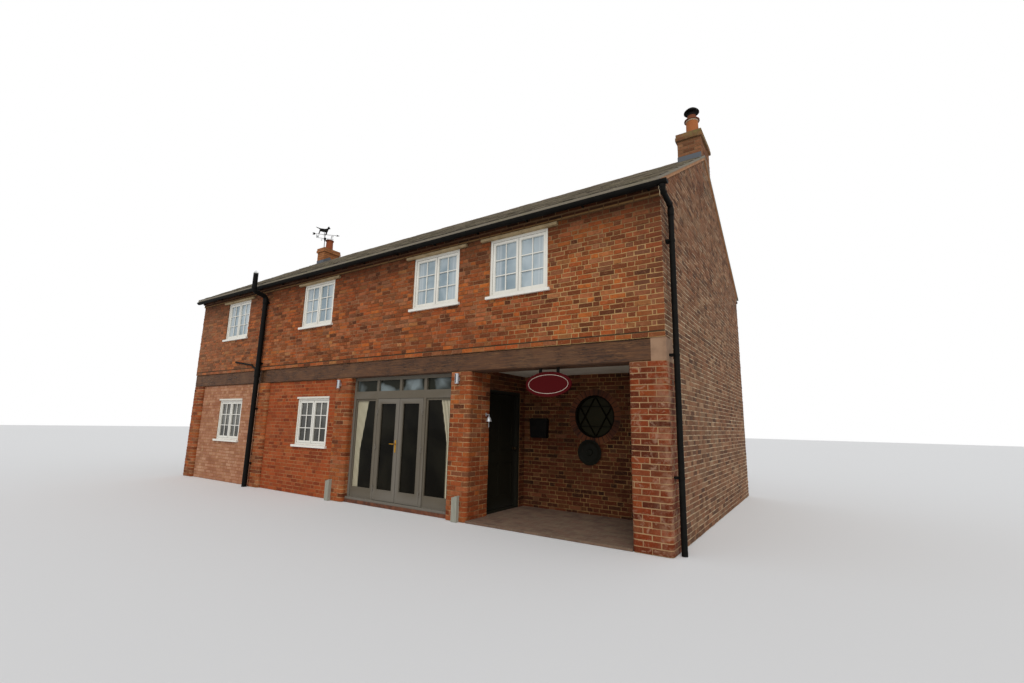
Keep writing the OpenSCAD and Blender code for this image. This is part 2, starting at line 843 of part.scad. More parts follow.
module round_window() {
    rim = 28;
    color([0.16, 0.17, 0.15]) at_round_window(20) union() {
        difference() {
            cylinder(r = round_r - seat, h = 60, $fn = 96);
            translate([0, 0, -1]) cylinder(r = round_r - rim, h = 62, $fn = 96);
        }
        translate([0, 0, 18]) linear_extrude(22) star_bars(round_r - rim / 3, 12);
    }
}

module round_window_glass() {
    color(GLASS) at_round_window(66) cylinder(r = round_r - 29, h = glass_t, $fn = 96);
}

module wall_dish() {
    color([0.15, 0.18, 0.16]) translate([dish_x, depth_y(porch_in) - seat, dish_z]) rotate([90, 0, 0])
        rotate_extrude($fn = 64) polygon([[0, 0], [150, 0], [205, 28], [220, 28], [220, 40], [198, 42],
            [150, 16], [60, 16], [45, 34], [0, 40]]);
}

module letterbox() {
    color(BLACK) translate([letterbox_x, depth_y(porch_in) - seat, letterbox_z]) rotate([90, 0, 0])
        linear_extrude(95) polygon([[-165, 0], [165, 0], [190, 340], [150, 362], [-150, 362], [-190, 340]]);
}

// A bell on a bracket at the porch side of the fourth pier, with its pull under it
module doorbell() {
    reach = 61;
    bell_x = pier_4_x + pier_4_w + reach + seat;
    color([0.78, 0.79, 0.80]) translate([bell_x, depth_y(bell_in), bell_z]) union() {
        rotate_extrude() polygon([[0, 0], [52, 0], [46, 14], [30, 60], [14, 82], [0, 86]]);
        translate([0, 0, 80]) cylinder(r = 5, h = 45);
        translate([-reach, -8, 110]) cube([reach + 5, 16, 10]);
        translate([-reach, -20, 85]) cube([6, 40, 60]);
        translate([0, 0, -95]) cylinder(r = 6, h = 100);
    }
}

// A lamp that throws its light up and down, on a short arm
module pier_lamp(x) {
    translate([x, front_y, lamp_z]) union() {
        translate([0, -54, 0]) cylinder(r = 35, h = 165);
        block(-25, -30, 50, 50, 30 - seat, 60);
    }
}

module pier_lights() {
    color([0.75, 0.76, 0.78]) {
        pier_lamp(pier_3_x + lamp_in[0]);
        pier_lamp(pier_4_x + lamp_in[1]);
    }
}

// A ribbed board with a slanted top, stood against the foot of a pier
module pier_guard(x) {
    w = 110;
    d = 70;
    slant = 35;
    groove = 8;
    ribs = 4;
    translate([x, front_y - seat, 0]) rotate([90, 0, 0]) difference() {
        linear_extrude(d) polygon([[0, 0], [w, 0], [w, guard_h], [0, guard_h - slant]]);
        for (i = [0:ribs]) block(i * w / ribs - groove / 2, -1, d - groove, groove, guard_h + 2, groove + 1);
    }
}

module pier_guards() {
    color([0.50, 0.52, 0.53]) {
        pier_guard(pier_3_x + guard_in[0]);
        pier_guard(pier_4_x + guard_in[1]);
    }
}

module ground_floor() {
    x0 = -end_x + wall_t + seat;
    y0 = depth_y(pier_d) + seat;
    infill_back = depth_y(infill_in + infill_t) + seat;
    color([0.45, 0.40, 0.36]) difference() {
        union() {
            block(x0, y0, 0, porch_x - porch_wall_t - seat - x0, back_y - wall_t - seat - y0, step_h);
            block(porch_x - porch_wall_t - seat - fit, door_y, 0,
                door_face_x - porch_x + porch_wall_t + fit, door_frame_w, step_h);
            block(x0, depth_y(porch_in + porch_wall_t) + seat, 0, body_l - 2 * wall_t - 2 * seat,
                back_y - wall_t - seat - depth_y(porch_in + porch_wall_t) - seat, step_h);
            block(bay3_x + seat, leaf_y - 60, 0, bay3_w - 2 * seat, y0 - leaf_y + 60 + fit, step_h);
            block(-end_x + pier_1_w + seat, infill_back, 0,
                pier_2_x + end_x - pier_1_w - 2 * seat, y0 - infill_back + fit, step_h);
            block(pier_2_x + pier_2_w + seat, infill_back, 0,
                pier_3_x - pier_2_x - pier_2_w - 2 * seat, y0 - infill_back + fit, step_h);
        }
        block(left_stack_x - seat, stack_y - seat, -1, left_stack_w + 2 * seat,
            left_stack_d + 2 * seat, step_h + 2);
    }
}

module upper_floor() {
    x0 = -end_x + wall_t + seat;
    y0 = depth_y(wall_t) + seat;
    color([0.50, 0.38, 0.26]) difference() {
        block(x0, y0, beam_top_z + seat, body_l - 2 * wall_t - 2 * seat, body_d - 2 * wall_t - 2 * seat, 60);
        block(left_stack_x - seat, stack_y - seat, beam_top_z, left_stack_w + 2 * seat,
            left_stack_d + 2 * seat, 100);
    }
}

// The front slope's slates alone, as a sheet in the YZ plane from the eaves to the ridge
module slate_outline() {
    polygon([[front_y - eaves_out, eaves_top_z - eaves_out * slope], [0, ridge_z],
        [0, ridge_z - slate_drop], [front_y - eaves_out, eaves_top_z - eaves_out * slope - slate_drop]]);
}

// The front slope over the walls, from the brick band to the ridge
module slope_outline() {
    polygon([[front_y - band_out, eaves_top_z - band_out * slope], [0, ridge_z],
        [0, ridge_z - roof_drop], [front_y - band_out, plate_z - band_out * slope]]);
}

module roof_slope() {
    along_x(-end_x - verge_out, body_l + 2 * verge_out) slate_outline();
    along_x(-end_x, body_l) slope_outline();
}

// Room for both stacks, but not past the right gable's face
module stack_cuts() {
    block(right_stack_x - seat, stack_y - seat, ridge_z - stack_root, right_stack_w + 2 * seat,
        right_stack_d + 2 * seat, stack_root + right_stack_rise);
    block(left_stack_x - seat, stack_y - seat, ridge_z - stack_root, left_stack_w + 2 * seat,
        left_stack_d + 2 * seat, stack_root + left_stack_rise);
}

module roof_front() {
    color(SLATE) difference() {
        translate([0, 0, seat]) roof_slope();
        stack_cuts();
    }
}

module roof_rear() {
    color(SLATE) difference() {
        translate([0, seat, seat]) mirror([0, 1, 0]) roof_slope();
        stack_cuts();
    }
}

// A band that lies on both slopes from y0 to y1, from low to high over the slates
module over_ridge(x, w, y0, y1, low, high) {
    along_x(x, w) polygon([[y0, ridge_z + y0 * slope + low], [0, ridge_z + low],
        [y1, ridge_z - y1 * slope + low], [y1, ridge_z - y1 * slope + high],
        [0, ridge_z + high], [y0, ridge_z + y0 * slope + high]]);
}

// The course that closes the roof's edge on both gables, right under the slates
module verge_courses() {
    lap = 12;
    color(CLAY) for (x = [-end_x - verge_course_out - seat, end_x + seat])
        over_ridge(x, verge_course_out, front_y - band_out, back_y + band_out,
            -roof_drop - lap, -slate_drop);
}

module ridge_tiles() {
    wing = 150;
    color([0.40, 0.30, 0.24]) difference() {
        along_x(-end_x - verge_out, body_l + 2 * verge_out) translate([0, ridge_z + 1])
            polygon([[-wing, -wing * slope], [0, 0], [wing, -wing * slope], [wing, 18 - wing * slope],
                [20, 32], [-20, 32], [-wing, 18 - wing * slope]]);
        block(left_stack_x - skirt - 1, -2 * wing, ridge_z - 2 * wing, left_stack_w + 2 * skirt + 2,
            4 * wing, 3 * wing);
        block(right_stack_x - skirt - 1, -2 * wing, ridge_z - 2 * wing, right_stack_w + skirt + 2 * verge_out,
            4 * wing, 3 * wing);
    }
}

module gutter_outline() {
    difference() {
        circle(gutter_r);
        circle(gutter_r - 4);
        translate([-gutter_r - 1, 0]) square([2 * gutter_r + 2, gutter_r + 1]);
    }
}

// A length of half-round gutter with its stopped ends and brackets, from the left end
module gutter(length) {
    brackets = 14;
    union() {
        along_x(-end_x, length) translate([gutter_y, gutter_z]) gutter_outline();
        for (x = [-end_x, length - end_x - 4]) along_x(x, 4) translate([gutter_y, gutter_z]) difference() {
            circle(gutter_r);
            translate([-gutter_r - 1, 0]) square([2 * gutter_r + 2, gutter_r + 1]);
        }
        for (i = [0:brackets - 1])
            block(-end_x + 120 + i * (body_l - 260) / (brackets - 1), gutter_y + gutter_r - 6, gutter_z - 40,
                20, front_y - band_out - seat - gutter_y - gutter_r + 6, 30);
    }
}

module gutters() {
    color(BLACK) {
        gutter(body_l + gutter_over);
        mirror([0, 1, 0]) gutter(body_l);
    }
}

// An arc of pipe in the XZ plane about the origin, from one angle on over another
module pipe_bend(r, bend, from, angle) {
    rotate([90, 0, 0]) rotate([0, 0, from]) rotate_extrude(angle = angle) translate([bend, 0]) circle(r);
}

// A short collar over the joint of two lengths of pipe, on an axis along Z
module pipe_collar(r) {
    translate([0, 0, -collar_l / 2]) cylinder(r = r + 5, h = collar_l);
}

// Two bends and a straight run that carry a pipe down and over along +X from the origin
module swan_neck(r, bend, angle, over) {
    run = neck_run(bend, angle, over);
    drop = neck_drop(bend, angle, run);
    translate([bend, 0, 0]) pipe_bend(r, bend, 180, angle);
    translate([bend * (1 - cos(angle)), 0, -bend * sin(angle)]) rotate([0, 180 - angle, 0]) {
        cylinder(r = r, h = run);
        for (z = [0, run]) translate([0, 0, z]) pipe_collar(r);
    }
    translate([over - bend, 0, -drop]) pipe_bend(r, bend, 0, angle);
    pipe_collar(r);
    translate([over, 0, -drop]) pipe_collar(r);
}

module downpipe() {
    top_z = gutter_z - gutter_r - outlet_h;
    over = rain_y - gutter_y;
    foot_z = top_z - neck_drop(rain_bend, rain_angle, neck_run(rain_bend, rain_angle, over));
    color(BLACK) union() {
        translate([rain_x, gutter_y, top_z]) cylinder(r = rain_r, h = outlet_h - seat);
        translate([rain_x, gutter_y, top_z + 6]) cylinder(r = rain_r + 6, h = outlet_h - 8);
        translate([rain_x, gutter_y, top_z]) rotate(90) swan_neck(rain_r, rain_bend, rain_angle, over);
        translate([rain_x, rain_y, 0]) cylinder(r = rain_r, h = foot_z);
        translate([rain_x, rain_y, foot_z - 90]) cylinder(r = rain_r + 7, h = 80);
        for (z = rain_clip_z) {
            block(end_x + seat, rain_y - 55, z, rain_gap + 10, 110, 30);
            translate([rain_x, rain_y, z]) cylinder(r = rain_r + 5, h = 30);
        }
    }
}

// A straight tube between two points
module tube(a, b, r) {
    v = b - a;
    translate(a) rotate([0, acos(v[2] / norm(v)), atan2(v[1], v[0])]) cylinder(r = r, h = norm(v));
}

// A socket with a bead at each end
module pipe_socket(r, h) {
    cylinder(r = r + 9, h = h);
    for (z = [0, h - 14]) translate([0, 0, z]) cylinder(r = r + 14, h = 14);
}

// The small pipe that runs along the wall and falls into the soil pipe's coupling
module waste_pipe() {
    wall_y = front_y - waste_r - 12;
    mouth = [soil_x - waste_l, wall_y, beam_top_z + 256];
    elbow = [soil_x - waste_l / 3, wall_y, beam_top_z + 144];
    tube([mouth[0], front_y - seat, mouth[2]], mouth, waste_r);
    tube(mouth, elbow, waste_r);
    tube(elbow, [soil_x, soil_y, beam_top_z - 30], waste_r);
    for (p = [mouth, elbow]) translate(p) sphere(r = waste_r + 5);
}

module soil_pipe() {
    over = soil_y - front_y + soil_out;
    foot_z = soil_neck_z - neck_drop(soil_bend, soil_angle, neck_run(soil_bend, soil_angle, over));
    top_z = eaves_top_z + soil_rise;
    hoop_r = soil_r - 5;
    color(BLACK) union() {
        translate([soil_x, soil_y, 0]) cylinder(r = soil_r, h = foot_z);
        translate([soil_x, soil_y, foot_z - 110]) cylinder(r = soil_r + 9, h = 100);
        translate([soil_x, soil_y, beam_top_z - coupling_h]) pipe_socket(soil_r, coupling_h);
        translate([soil_x, front_y - soil_out, soil_neck_z]) rotate(90)
            swan_neck(soil_r, soil_bend, soil_angle, over);
        translate([soil_x, front_y - soil_out, soil_neck_z]) cylinder(r = soil_r, h = top_z - soil_neck_z);
        translate([soil_x, front_y - soil_out, top_z]) {
            for (a = [45, 135]) rotate([90, 0, a])
                rotate_extrude() translate([hoop_r, 0]) circle(2.5, $fn = 8);
            translate([0, 0, hoop_r]) sphere(r = 7);
        }
        for (z = soil_clip_z) block(soil_x - 75, front_y - 26 - seat, z, 150, 26, 40);
        waste_pipe();
    }
}

// A stack whose two top courses oversail, the upper one a little less
module stack(x, w, d, base_z, top_z) {
    course = cap_h / 2;
    inset = 12;
    upper = cap_out - inset;
    block(x, stack_y, base_z, w, d, top_z - base_z);
    block(x - cap_out, stack_y - cap_out, top_z - cap_h, w + 2 * cap_out, d + 2 * cap_out, course);
    block(x - upper, stack_y - upper, top_z - course - fit, w + 2 * upper, d + 2 * upper, course + fit);
}

module chimney_left() {
    color(OLD_BRICK) union()
        stack(left_stack_x, left_stack_w, left_stack_d, step_h, left_stack_z);
}

module chimney_right() {
    color(OLD_BRICK) union()
        stack(right_stack_x, right_stack_w, right_stack_d, ridge_z - stack_root + seat, right_stack_z);
}

// The left pot flares at its rim; the right one carries a flange and a collar for its cowl
module left_pot() {
    h = left_pot_h;
    translate([left_stack_x + left_stack_w / 2, stack_y + left_stack_d / 2, left_stack_z + seat])
        rotate_extrude() polygon([[pot_r - 32, 0], [pot_r, 0], [pot_r - 4, 40], [pot_r - 12, h - 60],
            [pot_r + 6, h - 42], [pot_r + 10, h - 12], [pot_r + 4, h], [pot_r - 28, h]]);
}

module at_right_pot(z) {
    translate([right_stack_x + right_stack_w / 2, stack_y + right_stack_d / 2, right_stack_z + seat + z])
        children();
}

module right_pot() {
    h = right_pot_h;
    at_right_pot(0) rotate_extrude() polygon([[pot_r - 22, 0], [pot_r + 6, 0], [pot_r + 4, 40],
        [pot_r - 5, h - 30], [pot_r + 2, h - 24], [pot_r + 2, h - 10], [flange_r, h - 14], [flange_r, h + 4],
        [collar_r + 6, h + 10], [collar_r, h + 20], [collar_r, h + collar_h],
        [collar_bore, h + collar_h], [collar_bore, h - 20], [pot_r - 22, h - 50]]);
}

module chimney_pots() {
    color(CLAY) {
        left_pot();
        right_pot();
    }
}

module chimney_cowl() {
    lid_z = 36;
    color(BLACK) at_right_pot(right_pot_h + collar_h + seat) union() {
        difference() {
            cylinder(r = collar_r + 6, h = 8);
            translate([0, 0, -1]) cylinder(r = collar_bore, h = 10);
        }
        for (a = [45:90:315]) rotate(a) translate([collar_r - 10, -10, 7]) cube([8, 20, lid_z]);
        translate([0, 0, lid_z]) rotate_extrude() polygon([[0, 0], [cowl_r, 0], [cowl_r, 55],
            [cowl_r - 14, 92], [cowl_r - 50, 122], [0, 150]]);
    }
}

// A lead skirt on the slates and an upstand round the foot of a stack
module apron(x, w, d, right_side) {
    y = stack_y;
    lead_t = 8;
    difference() {
        union() {
            over_ridge(x - skirt, w + skirt + right_side, y - skirt, y + d + skirt, 1, 7);
            over_ridge(x - lead_t, w + lead_t + min(lead_t, right_side), y - lead_t, y + d + lead_t,
                1, upstand_h);
        }
        block(x - seat, y - seat, ridge_z - stack_root, w + 2 * seat, d + 2 * seat,
            stack_root + 2 * upstand_h);
    }
}

module chimney_flashing() {
    color(LEAD) {
        apron(left_stack_x, left_stack_w, left_stack_d, skirt);
        apron(right_stack_x, right_stack_w, right_stack_d, -1);
    }
}

// A foot, a pole with a drop-shaped finial, four arms and the pin that the vane turns on
module vane_stand() {
    pole_h = vane_h - hub_drop - 15;
    pin_h = vane_h - pole_h + pin_over - 2 * seat;
    color(BLACK) translate([vane_x, vane_y, left_stack_z + seat]) union() {
        cylinder(r = 45, h = 10);
        rotate_extrude($fn = 32) polygon([[0, 0], [12, 0], [10, arm_z - 110], [20, arm_z - 75],
            [40, arm_z - 25], [34, arm_z + 5], [10, arm_z + 35], [10, pole_h], [0, pole_h]]);
        translate([0, 0, pole_h - 1]) cylinder(r = pin_r, h = pin_h + 1, $fn = 32);
        for (a = [49:90:319]) rotate(a) block(0, -4, arm_z - 8, arm_l, 8, 8);
    }
}

// A hound in profile with its feet on the X axis, facing +X, drawn 306 high
module dog_outline() {
    scale(dog_h / 306) polygon([[-228, 0], [-194, 0], [-186, 46], [-158, 104], [-110, 90], [-30, 80],
        [14, 72], [20, 0], [52, 0], [60, 80], [80, 132], [94, 182], [108, 214], [136, 208], [154, 222],
        [152, 240], [128, 262], [112, 300], [86, 306], [66, 270], [44, 226], [-20, 208], [-120, 212],
        [-180, 214], [-320, 250], [-322, 238], [-196, 176], [-204, 100], [-218, 46]]);
}

// The arrow with its hub, its two ends and the hound that stands on it
module weather_vane() {
    hub_r = 12;
    half = arrow_l / 2;
    color(BLACK) translate([vane_x, vane_y, vane_z]) rotate(46) difference() {
        union() {
            translate([0, 0, -hub_drop]) cylinder(r = hub_r, h = hub_drop + pin_over + 9, $fn = 32);
            block(-half, -4, -6, arrow_l + 45, 8, 12);
            translate([0, 3, 0]) rotate([90, 0, 0]) linear_extrude(6) {
                polygon([[half - 15, -34], [half + 90, 0], [half - 15, 34], [half + 5, 0]]);
                polygon([[-half - 30, -38], [-half + 45, -38], [-half + 75, 0], [-half + 45, 38],
                    [-half - 30, 38], [-half, 0]]);
                translate([0, 5]) dog_outline();
            }
        }
        translate([0, 0, -hub_drop - 1]) cylinder(r = pin_r + 1, h = hub_drop + 1 + pin_over, $fn = 32);
    }
}

module sign_board() {
    color([0.42, 0.05, 0.07]) translate([sign_x, depth_y(120), sign_z]) rotate([90, 0, 0])
        scale(sign_w / 2) linear_extrude(0.1) resize([2, 2 * sign_h / sign_w]) circle(1, $fn = 96);
}

module sign_straps() {
    color(BLACK) for (x = [sign_x - 150, sign_x + 150])
        block(x - 25, depth_y(120) + seat, sign_z + 60, 50, 8, soffit_z - sign_z - 60 - seat);
}

front_wall();
rear_wall();
left_gable_wall();
right_gable_wall();
brick_piers();
beam_left();
beam_right();
beam_pad();
infill_walls();
upper_window_frames();
lower_window_frames();
rear_window_frames();
window_glass();
window_sills();
window_lintels();
screen_frame();
screen_glass();
screen_sill();
screen_door_left();
screen_door_right();
door_glass_left();
door_glass_right();
screen_door_handle();
porch_back_wall();
porch_side_wall();
porch_ceiling();
porch_floor();
entrance_frame();
entrance_door();
entrance_handle();
round_window_arch();
round_window();
round_window_glass();
wall_dish();
letterbox();
doorbell();
pier_lights();
pier_guards();
ground_floor();
upper_floor();
roof_front();
roof_rear();
verge_courses();
ridge_tiles();
gutters();
downpipe();
soil_pipe();
chimney_left();
chimney_right();
chimney_pots();
chimney_cowl();
chimney_flashing();
vane_stand();
weather_vane();
sign_board();
sign_straps();
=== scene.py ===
"""Looks of the brick coach house: courses, slates, joinery, metalwork and finishes over the CAD frame."""

import math
import random

import bpy
from mathutils import Matrix, Vector, noise


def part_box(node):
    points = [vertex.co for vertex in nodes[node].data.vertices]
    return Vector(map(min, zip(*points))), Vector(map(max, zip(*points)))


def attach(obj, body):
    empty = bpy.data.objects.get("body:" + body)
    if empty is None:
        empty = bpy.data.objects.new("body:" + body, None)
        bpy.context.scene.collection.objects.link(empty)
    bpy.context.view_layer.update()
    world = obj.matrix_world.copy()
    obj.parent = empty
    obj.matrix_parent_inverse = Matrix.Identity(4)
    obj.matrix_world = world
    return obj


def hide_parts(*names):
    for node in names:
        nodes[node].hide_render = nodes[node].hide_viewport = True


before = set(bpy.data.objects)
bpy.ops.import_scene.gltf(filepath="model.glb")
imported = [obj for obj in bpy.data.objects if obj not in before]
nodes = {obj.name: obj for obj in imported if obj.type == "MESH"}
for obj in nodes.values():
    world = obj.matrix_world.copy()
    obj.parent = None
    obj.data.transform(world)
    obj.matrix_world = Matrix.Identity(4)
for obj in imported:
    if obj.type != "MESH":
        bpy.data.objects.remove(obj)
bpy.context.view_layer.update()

# Main sizes in metres, as in the source
FRONT, BACK, END = -3.31, 3.31, 6.49
PITCH = math.radians(31.8)
SLOPE = math.tan(PITCH)
EAVES_Z = 4.935
RIDGE_Z = EAVES_Z + SLOPE * BACK
PLATE_Z = EAVES_Z - 0.072 / math.cos(PITCH)
BAND_Z = PLATE_Z - 0.218
VERGE = 0.028
SOFFIT, BEAM_TOP = 2.38, 2.69
FIRST_Z = BEAM_TOP + 0.076  # top of the first course over the beam
WIN_W, WIN_H = 1.1, 0.98
SASH_W, SASH_H, RAIL = 0.5097, 0.8994, 0.048
GLASS_W, GLASS_H = 0.4137, 0.8034
STRIP_W, STRIP_H = 1.47, 0.05  # the strips over the upper windows
ARCH_W, ARCH_H = 1.24, 0.2  # the flat arches at the back
UPPER_X, UPPER_Z = (-4.54, -1.085, 2.42, 4.195), 3.59
LOWER_X, LOWER_Z = (-4.5, -1.01), 1.01
REAR_X = (-4.54, -1.085, 2.42)
PIERS = ((-6.49, 0.49), (-3.185, 0.45), (-0.2, 0.45), (2.88, 0.43), (5.99, 0.5))
PIER_D, PIER_R = 0.56, 0.055
LAST_PIER = (5.8, 5.9)  # the last pier's own look begins between these
LAMP_X = (-0.043, 3.071)
STOREY_Z = 2.4
STACK_Y = -0.21
STACK_R = (END - 0.45, 0.45, 0.82, RIDGE_Z + 0.488)
STACK_L = (0.355 - END, 0.37, 0.59, RIDGE_Z + 0.423)
JOINT_X, BEAM_END, LAP, LAP_IN = -2.895, END - 0.2, 0.22, 0.045
ROUND_X, ROUND_Z, ROUND_R = 4.705, 1.7, 0.375
PORCH_X, PORCH_END, PORCH_Y, PORCH_TOP = 3.25, END - 0.33, FRONT + 1.81, BEAM_TOP - 0.235
DOOR_Y, DOOR_W, DOOR_H = FRONT + 0.572, 1.06, 2.13  # the entrance frame
BAY_GLASS, TRANSOM_Z = (0.312, 2.818), 2.02  # the glazed bay's outer panes and its top lights


# Materials
def hexed(text):
    """A colour written as it looks, turned into the shader's own scale."""
    c = [int(text[i:i + 2], 16) / 255 for i in (0, 2, 4)]
    return tuple(x / 12.92 if x <= 0.04045 else ((x + 0.055) / 1.055) ** 2.4 for x in c) + (1.0,)


class Mat:
    """A node material, built a node at a time."""

    def __init__(self, name, rough=0.8, metal=0.0, shine=0.5, ior=1.5):
        self.m = bpy.data.materials.new(name)
        self.m.use_nodes = True
        self.n, self.l = self.m.node_tree.nodes, self.m.node_tree.links
        self.b = self.n["Principled BSDF"]
        values = {"Roughness": rough, "Metallic": metal, "Specular IOR Level": shine, "IOR": ior}
        for key, value in values.items():
            self.b.inputs[key].default_value = value
        self.p = self.node("TexCoord").outputs["Object"]

    def node(self, kind, ins=None, **attrs):
        x = self.n.new("ShaderNode" + kind)
        for key, value in attrs.items():
            setattr(x, key, value)
        for key, value in (ins or {}).items():
            if isinstance(value, bpy.types.NodeSocket):
                self.l.new(value, x.inputs[key])
            else:
                x.inputs[key].default_value = value
        return x

    def at(self, scale):
        return self.node("Mapping", {0: self.p, 3: scale}).outputs[0]

    def noise(self, scale, detail=4.0, rough=0.6, at=None, warp=0.0):
        ins = {0: at or self.p, 2: scale, 3: detail, 4: rough, "Distortion": warp}
        return self.node("TexNoise", ins).outputs[0]

    def ramp(self, fac, *stops):
        r = self.node("ValToRGB", {0: fac})
        e = r.color_ramp.elements
        while len(e) < len(stops):
            e.new(0.5)
        for i, (where, colour) in enumerate(stops):
            e[i].position = where
            e[i].color = hexed(colour)
        return r.outputs[0]

    def mix(self, fac, a, b, blend="MIX"):
        a, b = (hexed(c) if isinstance(c, str) else c for c in (a, b))
        return self.node("Mix", {0: fac, 6: a, 7: b}, data_type="RGBA", blend_type=blend).outputs[2]

    def fade(self, c, to, fac, lo, hi, share=1.0):
        """The colour c, turned into another by up to a share as fac goes from lo to hi."""
        return self.mix(self.spread(fac, lo, hi, 0.0, share), c, to)

    def math(self, op, a, b=0.0):
        return self.node("Math", {0: a, 1: b}, operation=op).outputs[0]

    def times(self, a, b):
        return self.math("MULTIPLY", a, b)

    def over(self, a, b):
        return self.math("GREATER_THAN", a, b)

    def off(self, a, b):
        """How far a is from b."""
        return self.math("ABSOLUTE", self.math("SUBTRACT", a, b))

    def spread(self, x, lo, hi, to_lo=0.0, to_hi=1.0):
        return self.node("MapRange", {0: x, 1: lo, 2: hi, 3: to_lo, 4: to_hi}).outputs[0]

    def tone(self):
        return self.node("Attribute", attribute_name="tone").outputs["Fac"]

    def shuffle(self, x, by):
        return self.node("TexWhiteNoise", {"W": self.times(x, by)}, noise_dimensions="1D").outputs[0]

    def xyz(self):
        return self.node("SeparateXYZ", {0: self.p}).outputs

    def colour(self, c):
        self.c = c
        self.l.new(c, self.b.inputs["Base Color"])
        return self

    def rough(self, fac, lo, hi):
        self.l.new(self.spread(fac, 0.2, 0.8, lo, hi), self.b.inputs["Roughness"])
        return self

    def bump(self, height, distance, strength=1.0):
        last = self.b.inputs["Normal"].links
        ins = {"Height": height, "Distance": distance, "Strength": strength}
        if last:
            ins["Normal"] = last[0].from_socket
        self.l.new(self.node("Bump", ins).outputs[0], self.b.inputs["Normal"])
        return self


def brick_mat(name, stops, smear="a07852", smear_at=0.66, smear_share=0.5, place=None, mottle=0.5):
    """Fired brick: each has its own tone, with mottling, kiss marks, lime smears and a dusty face."""
    m = Mat(name, 0.94, shine=0.2)
    t = m.tone()
    c = m.ramp(t, *stops)
    c = m.fade(c, "3a1e12", m.shuffle(t, 917.0), 0.6, 1, 0.6 * mottle)
    c = m.fade(c, "b4805c", m.shuffle(t, 431.0), 0.65, 1, 0.7 * mottle)
    wide = m.noise(0.8, 3, 0.5)
    c = m.fade(c, m.mix(1.0, c, "c9784a", "MULTIPLY"), wide, 0.35, 0.7, 0.4)
    patch = m.noise(14, 4, 0.7, warp=0.8)
    c = m.fade(c, "5c3019", patch, 0.45, 0.7, mottle)
    blotch = m.noise(26, 4, 0.75, warp=1.0)
    c = m.fade(c, "bc8460", blotch, 0.54, 0.72, 0.8 * mottle)
    grain = m.noise(140, 3, 0.8)
    c = m.fade(c, "b87a4c", grain, 0.45, 0.8, 0.18)
    lime = m.noise(3.2, 6, 0.72, warp=1.2)
    c = m.fade(c, smear, lime, smear_at, smear_at + 0.16, smear_share)
    m.colour(place(m, c) if place else c).rough(patch, 0.84, 0.98)
    return m.bump(grain, 0.002, 0.5).bump(patch, 0.006, 0.6).bump(blotch, 0.004, 0.5).m


def front_places(m, c):
    """The front fades to pale at its left end and is sooty at its right end; under the eaves it is darkened
    with painted shade.
    """
    x, _, z = m.xyz()
    c = m.fade(c, "8a6c52", x, -2.5, -6.0, 0.3)
    c = m.fade(c, "54382a", x, 5.6, 6.4, 0.4)
    # Painted shade under the eaves: the wall darkens towards the gutter from z 3.9 to 4.75.
    return m.fade(c, "34190b", z, 3.9, 4.75, 0.62)


def band_places(m, c):
    """The stepped band is darkened with painted shade from the gutter and eaves, with a pale fillet of mortar
    along its foot.
    """
    foot = m.spread(m.xyz()[2], BAND_Z + 0.03, BAND_Z + 0.022)
    # Painted shade: the band's bricks are mixed 84% of the way to near black.
    return m.mix(foot, m.mix(0.84, c, "180c06"), "80603a")


def stack_places(m, c):
    """The left stack is a warmer orange. The right one has an olive bloom and matches the gable below."""
    x, _, z = m.xyz()
    bloom = m.times(m.spread(z, STACK_R[3] - 0.2, STACK_R[3] - 0.1), m.spread(m.noise(5), 0.4, 0.6))
    below = m.spread(z, RIDGE_Z, RIDGE_Z - 0.05)
    right = m.mix(below, m.mix(bloom, c, "74643c"), m.ramp(m.tone(), *GABLE))
    return m.mix(m.over(x, 0.0), m.mix(0.5, c, "b06a38"), right)


def pier_places(m, c):
    """The last pier is darker than the others, with worn pale patches and lime on its outer edge."""
    x = m.xyz()[0]
    worn = m.mix(1.0, c, "d4bcb0", "MULTIPLY")
    worn = m.fade(worn, "a88870", m.noise(9, 5, 0.75, warp=0.8), 0.54, 0.64, 0.5)
    c = m.fade(c, worn, x, *LAST_PIER)
    edge = m.times(m.spread(x, 6.25, 6.5, 0.0, 0.45), m.spread(m.noise(6, 5, 0.7), 0.45, 0.6))
    return m.mix(edge, c, "a88a70")


def mortar_mat(name, pale, dark, red="6f4a33", front=False, end=None, gable=False):
    """Lime mortar, sandy, darker and redder where it has weathered back, paler where it was renewed."""
    m = Mat(name, 0.95, shine=0.2)
    x, _, z = m.xyz()
    wide = m.noise(1.3, 5, 0.65)

    def lime(pale, dark):
        return m.ramp(wide, (0.36, dark), (0.52, pale), (0.62, pale), (0.72, dark))
    c = m.fade(lime(pale, dark), red, m.noise(5, 3), 0.45, 0.6, 0.85)
    if end:
        c = m.fade(c, end, x, *LAST_PIER, 0.6)
    if front:
        shifted = m.math("ADD", x, m.times(m.noise(1.1, 3), 1.6))
        c = m.fade(c, "b4905f", shifted, 4.2, 5.6, 0.85)
        # Painted shade under the eaves, matching the bricks' painted shade.
        c = m.fade(c, "3a2010", z, 3.9, 4.6, 0.85)
        c = m.fade(c, "1e120a", m.off(z, FIRST_Z + 0.002), 0.012, 0.009)
    if gable:
        side = m.over(m.math("ABSOLUTE", x), END - 0.0015)
        side = m.times(side, m.spread(z, RIDGE_Z, RIDGE_Z - 0.05))
        c = m.mix(side, c, lime(*GABLE_MORTAR))
    sand = m.noise(220, 2, 0.7)
    c = m.fade(c, "c9a67c", sand, 0.35, 0.8, 0.2)
    return m.colour(c).bump(sand, 0.0015, 0.8).m


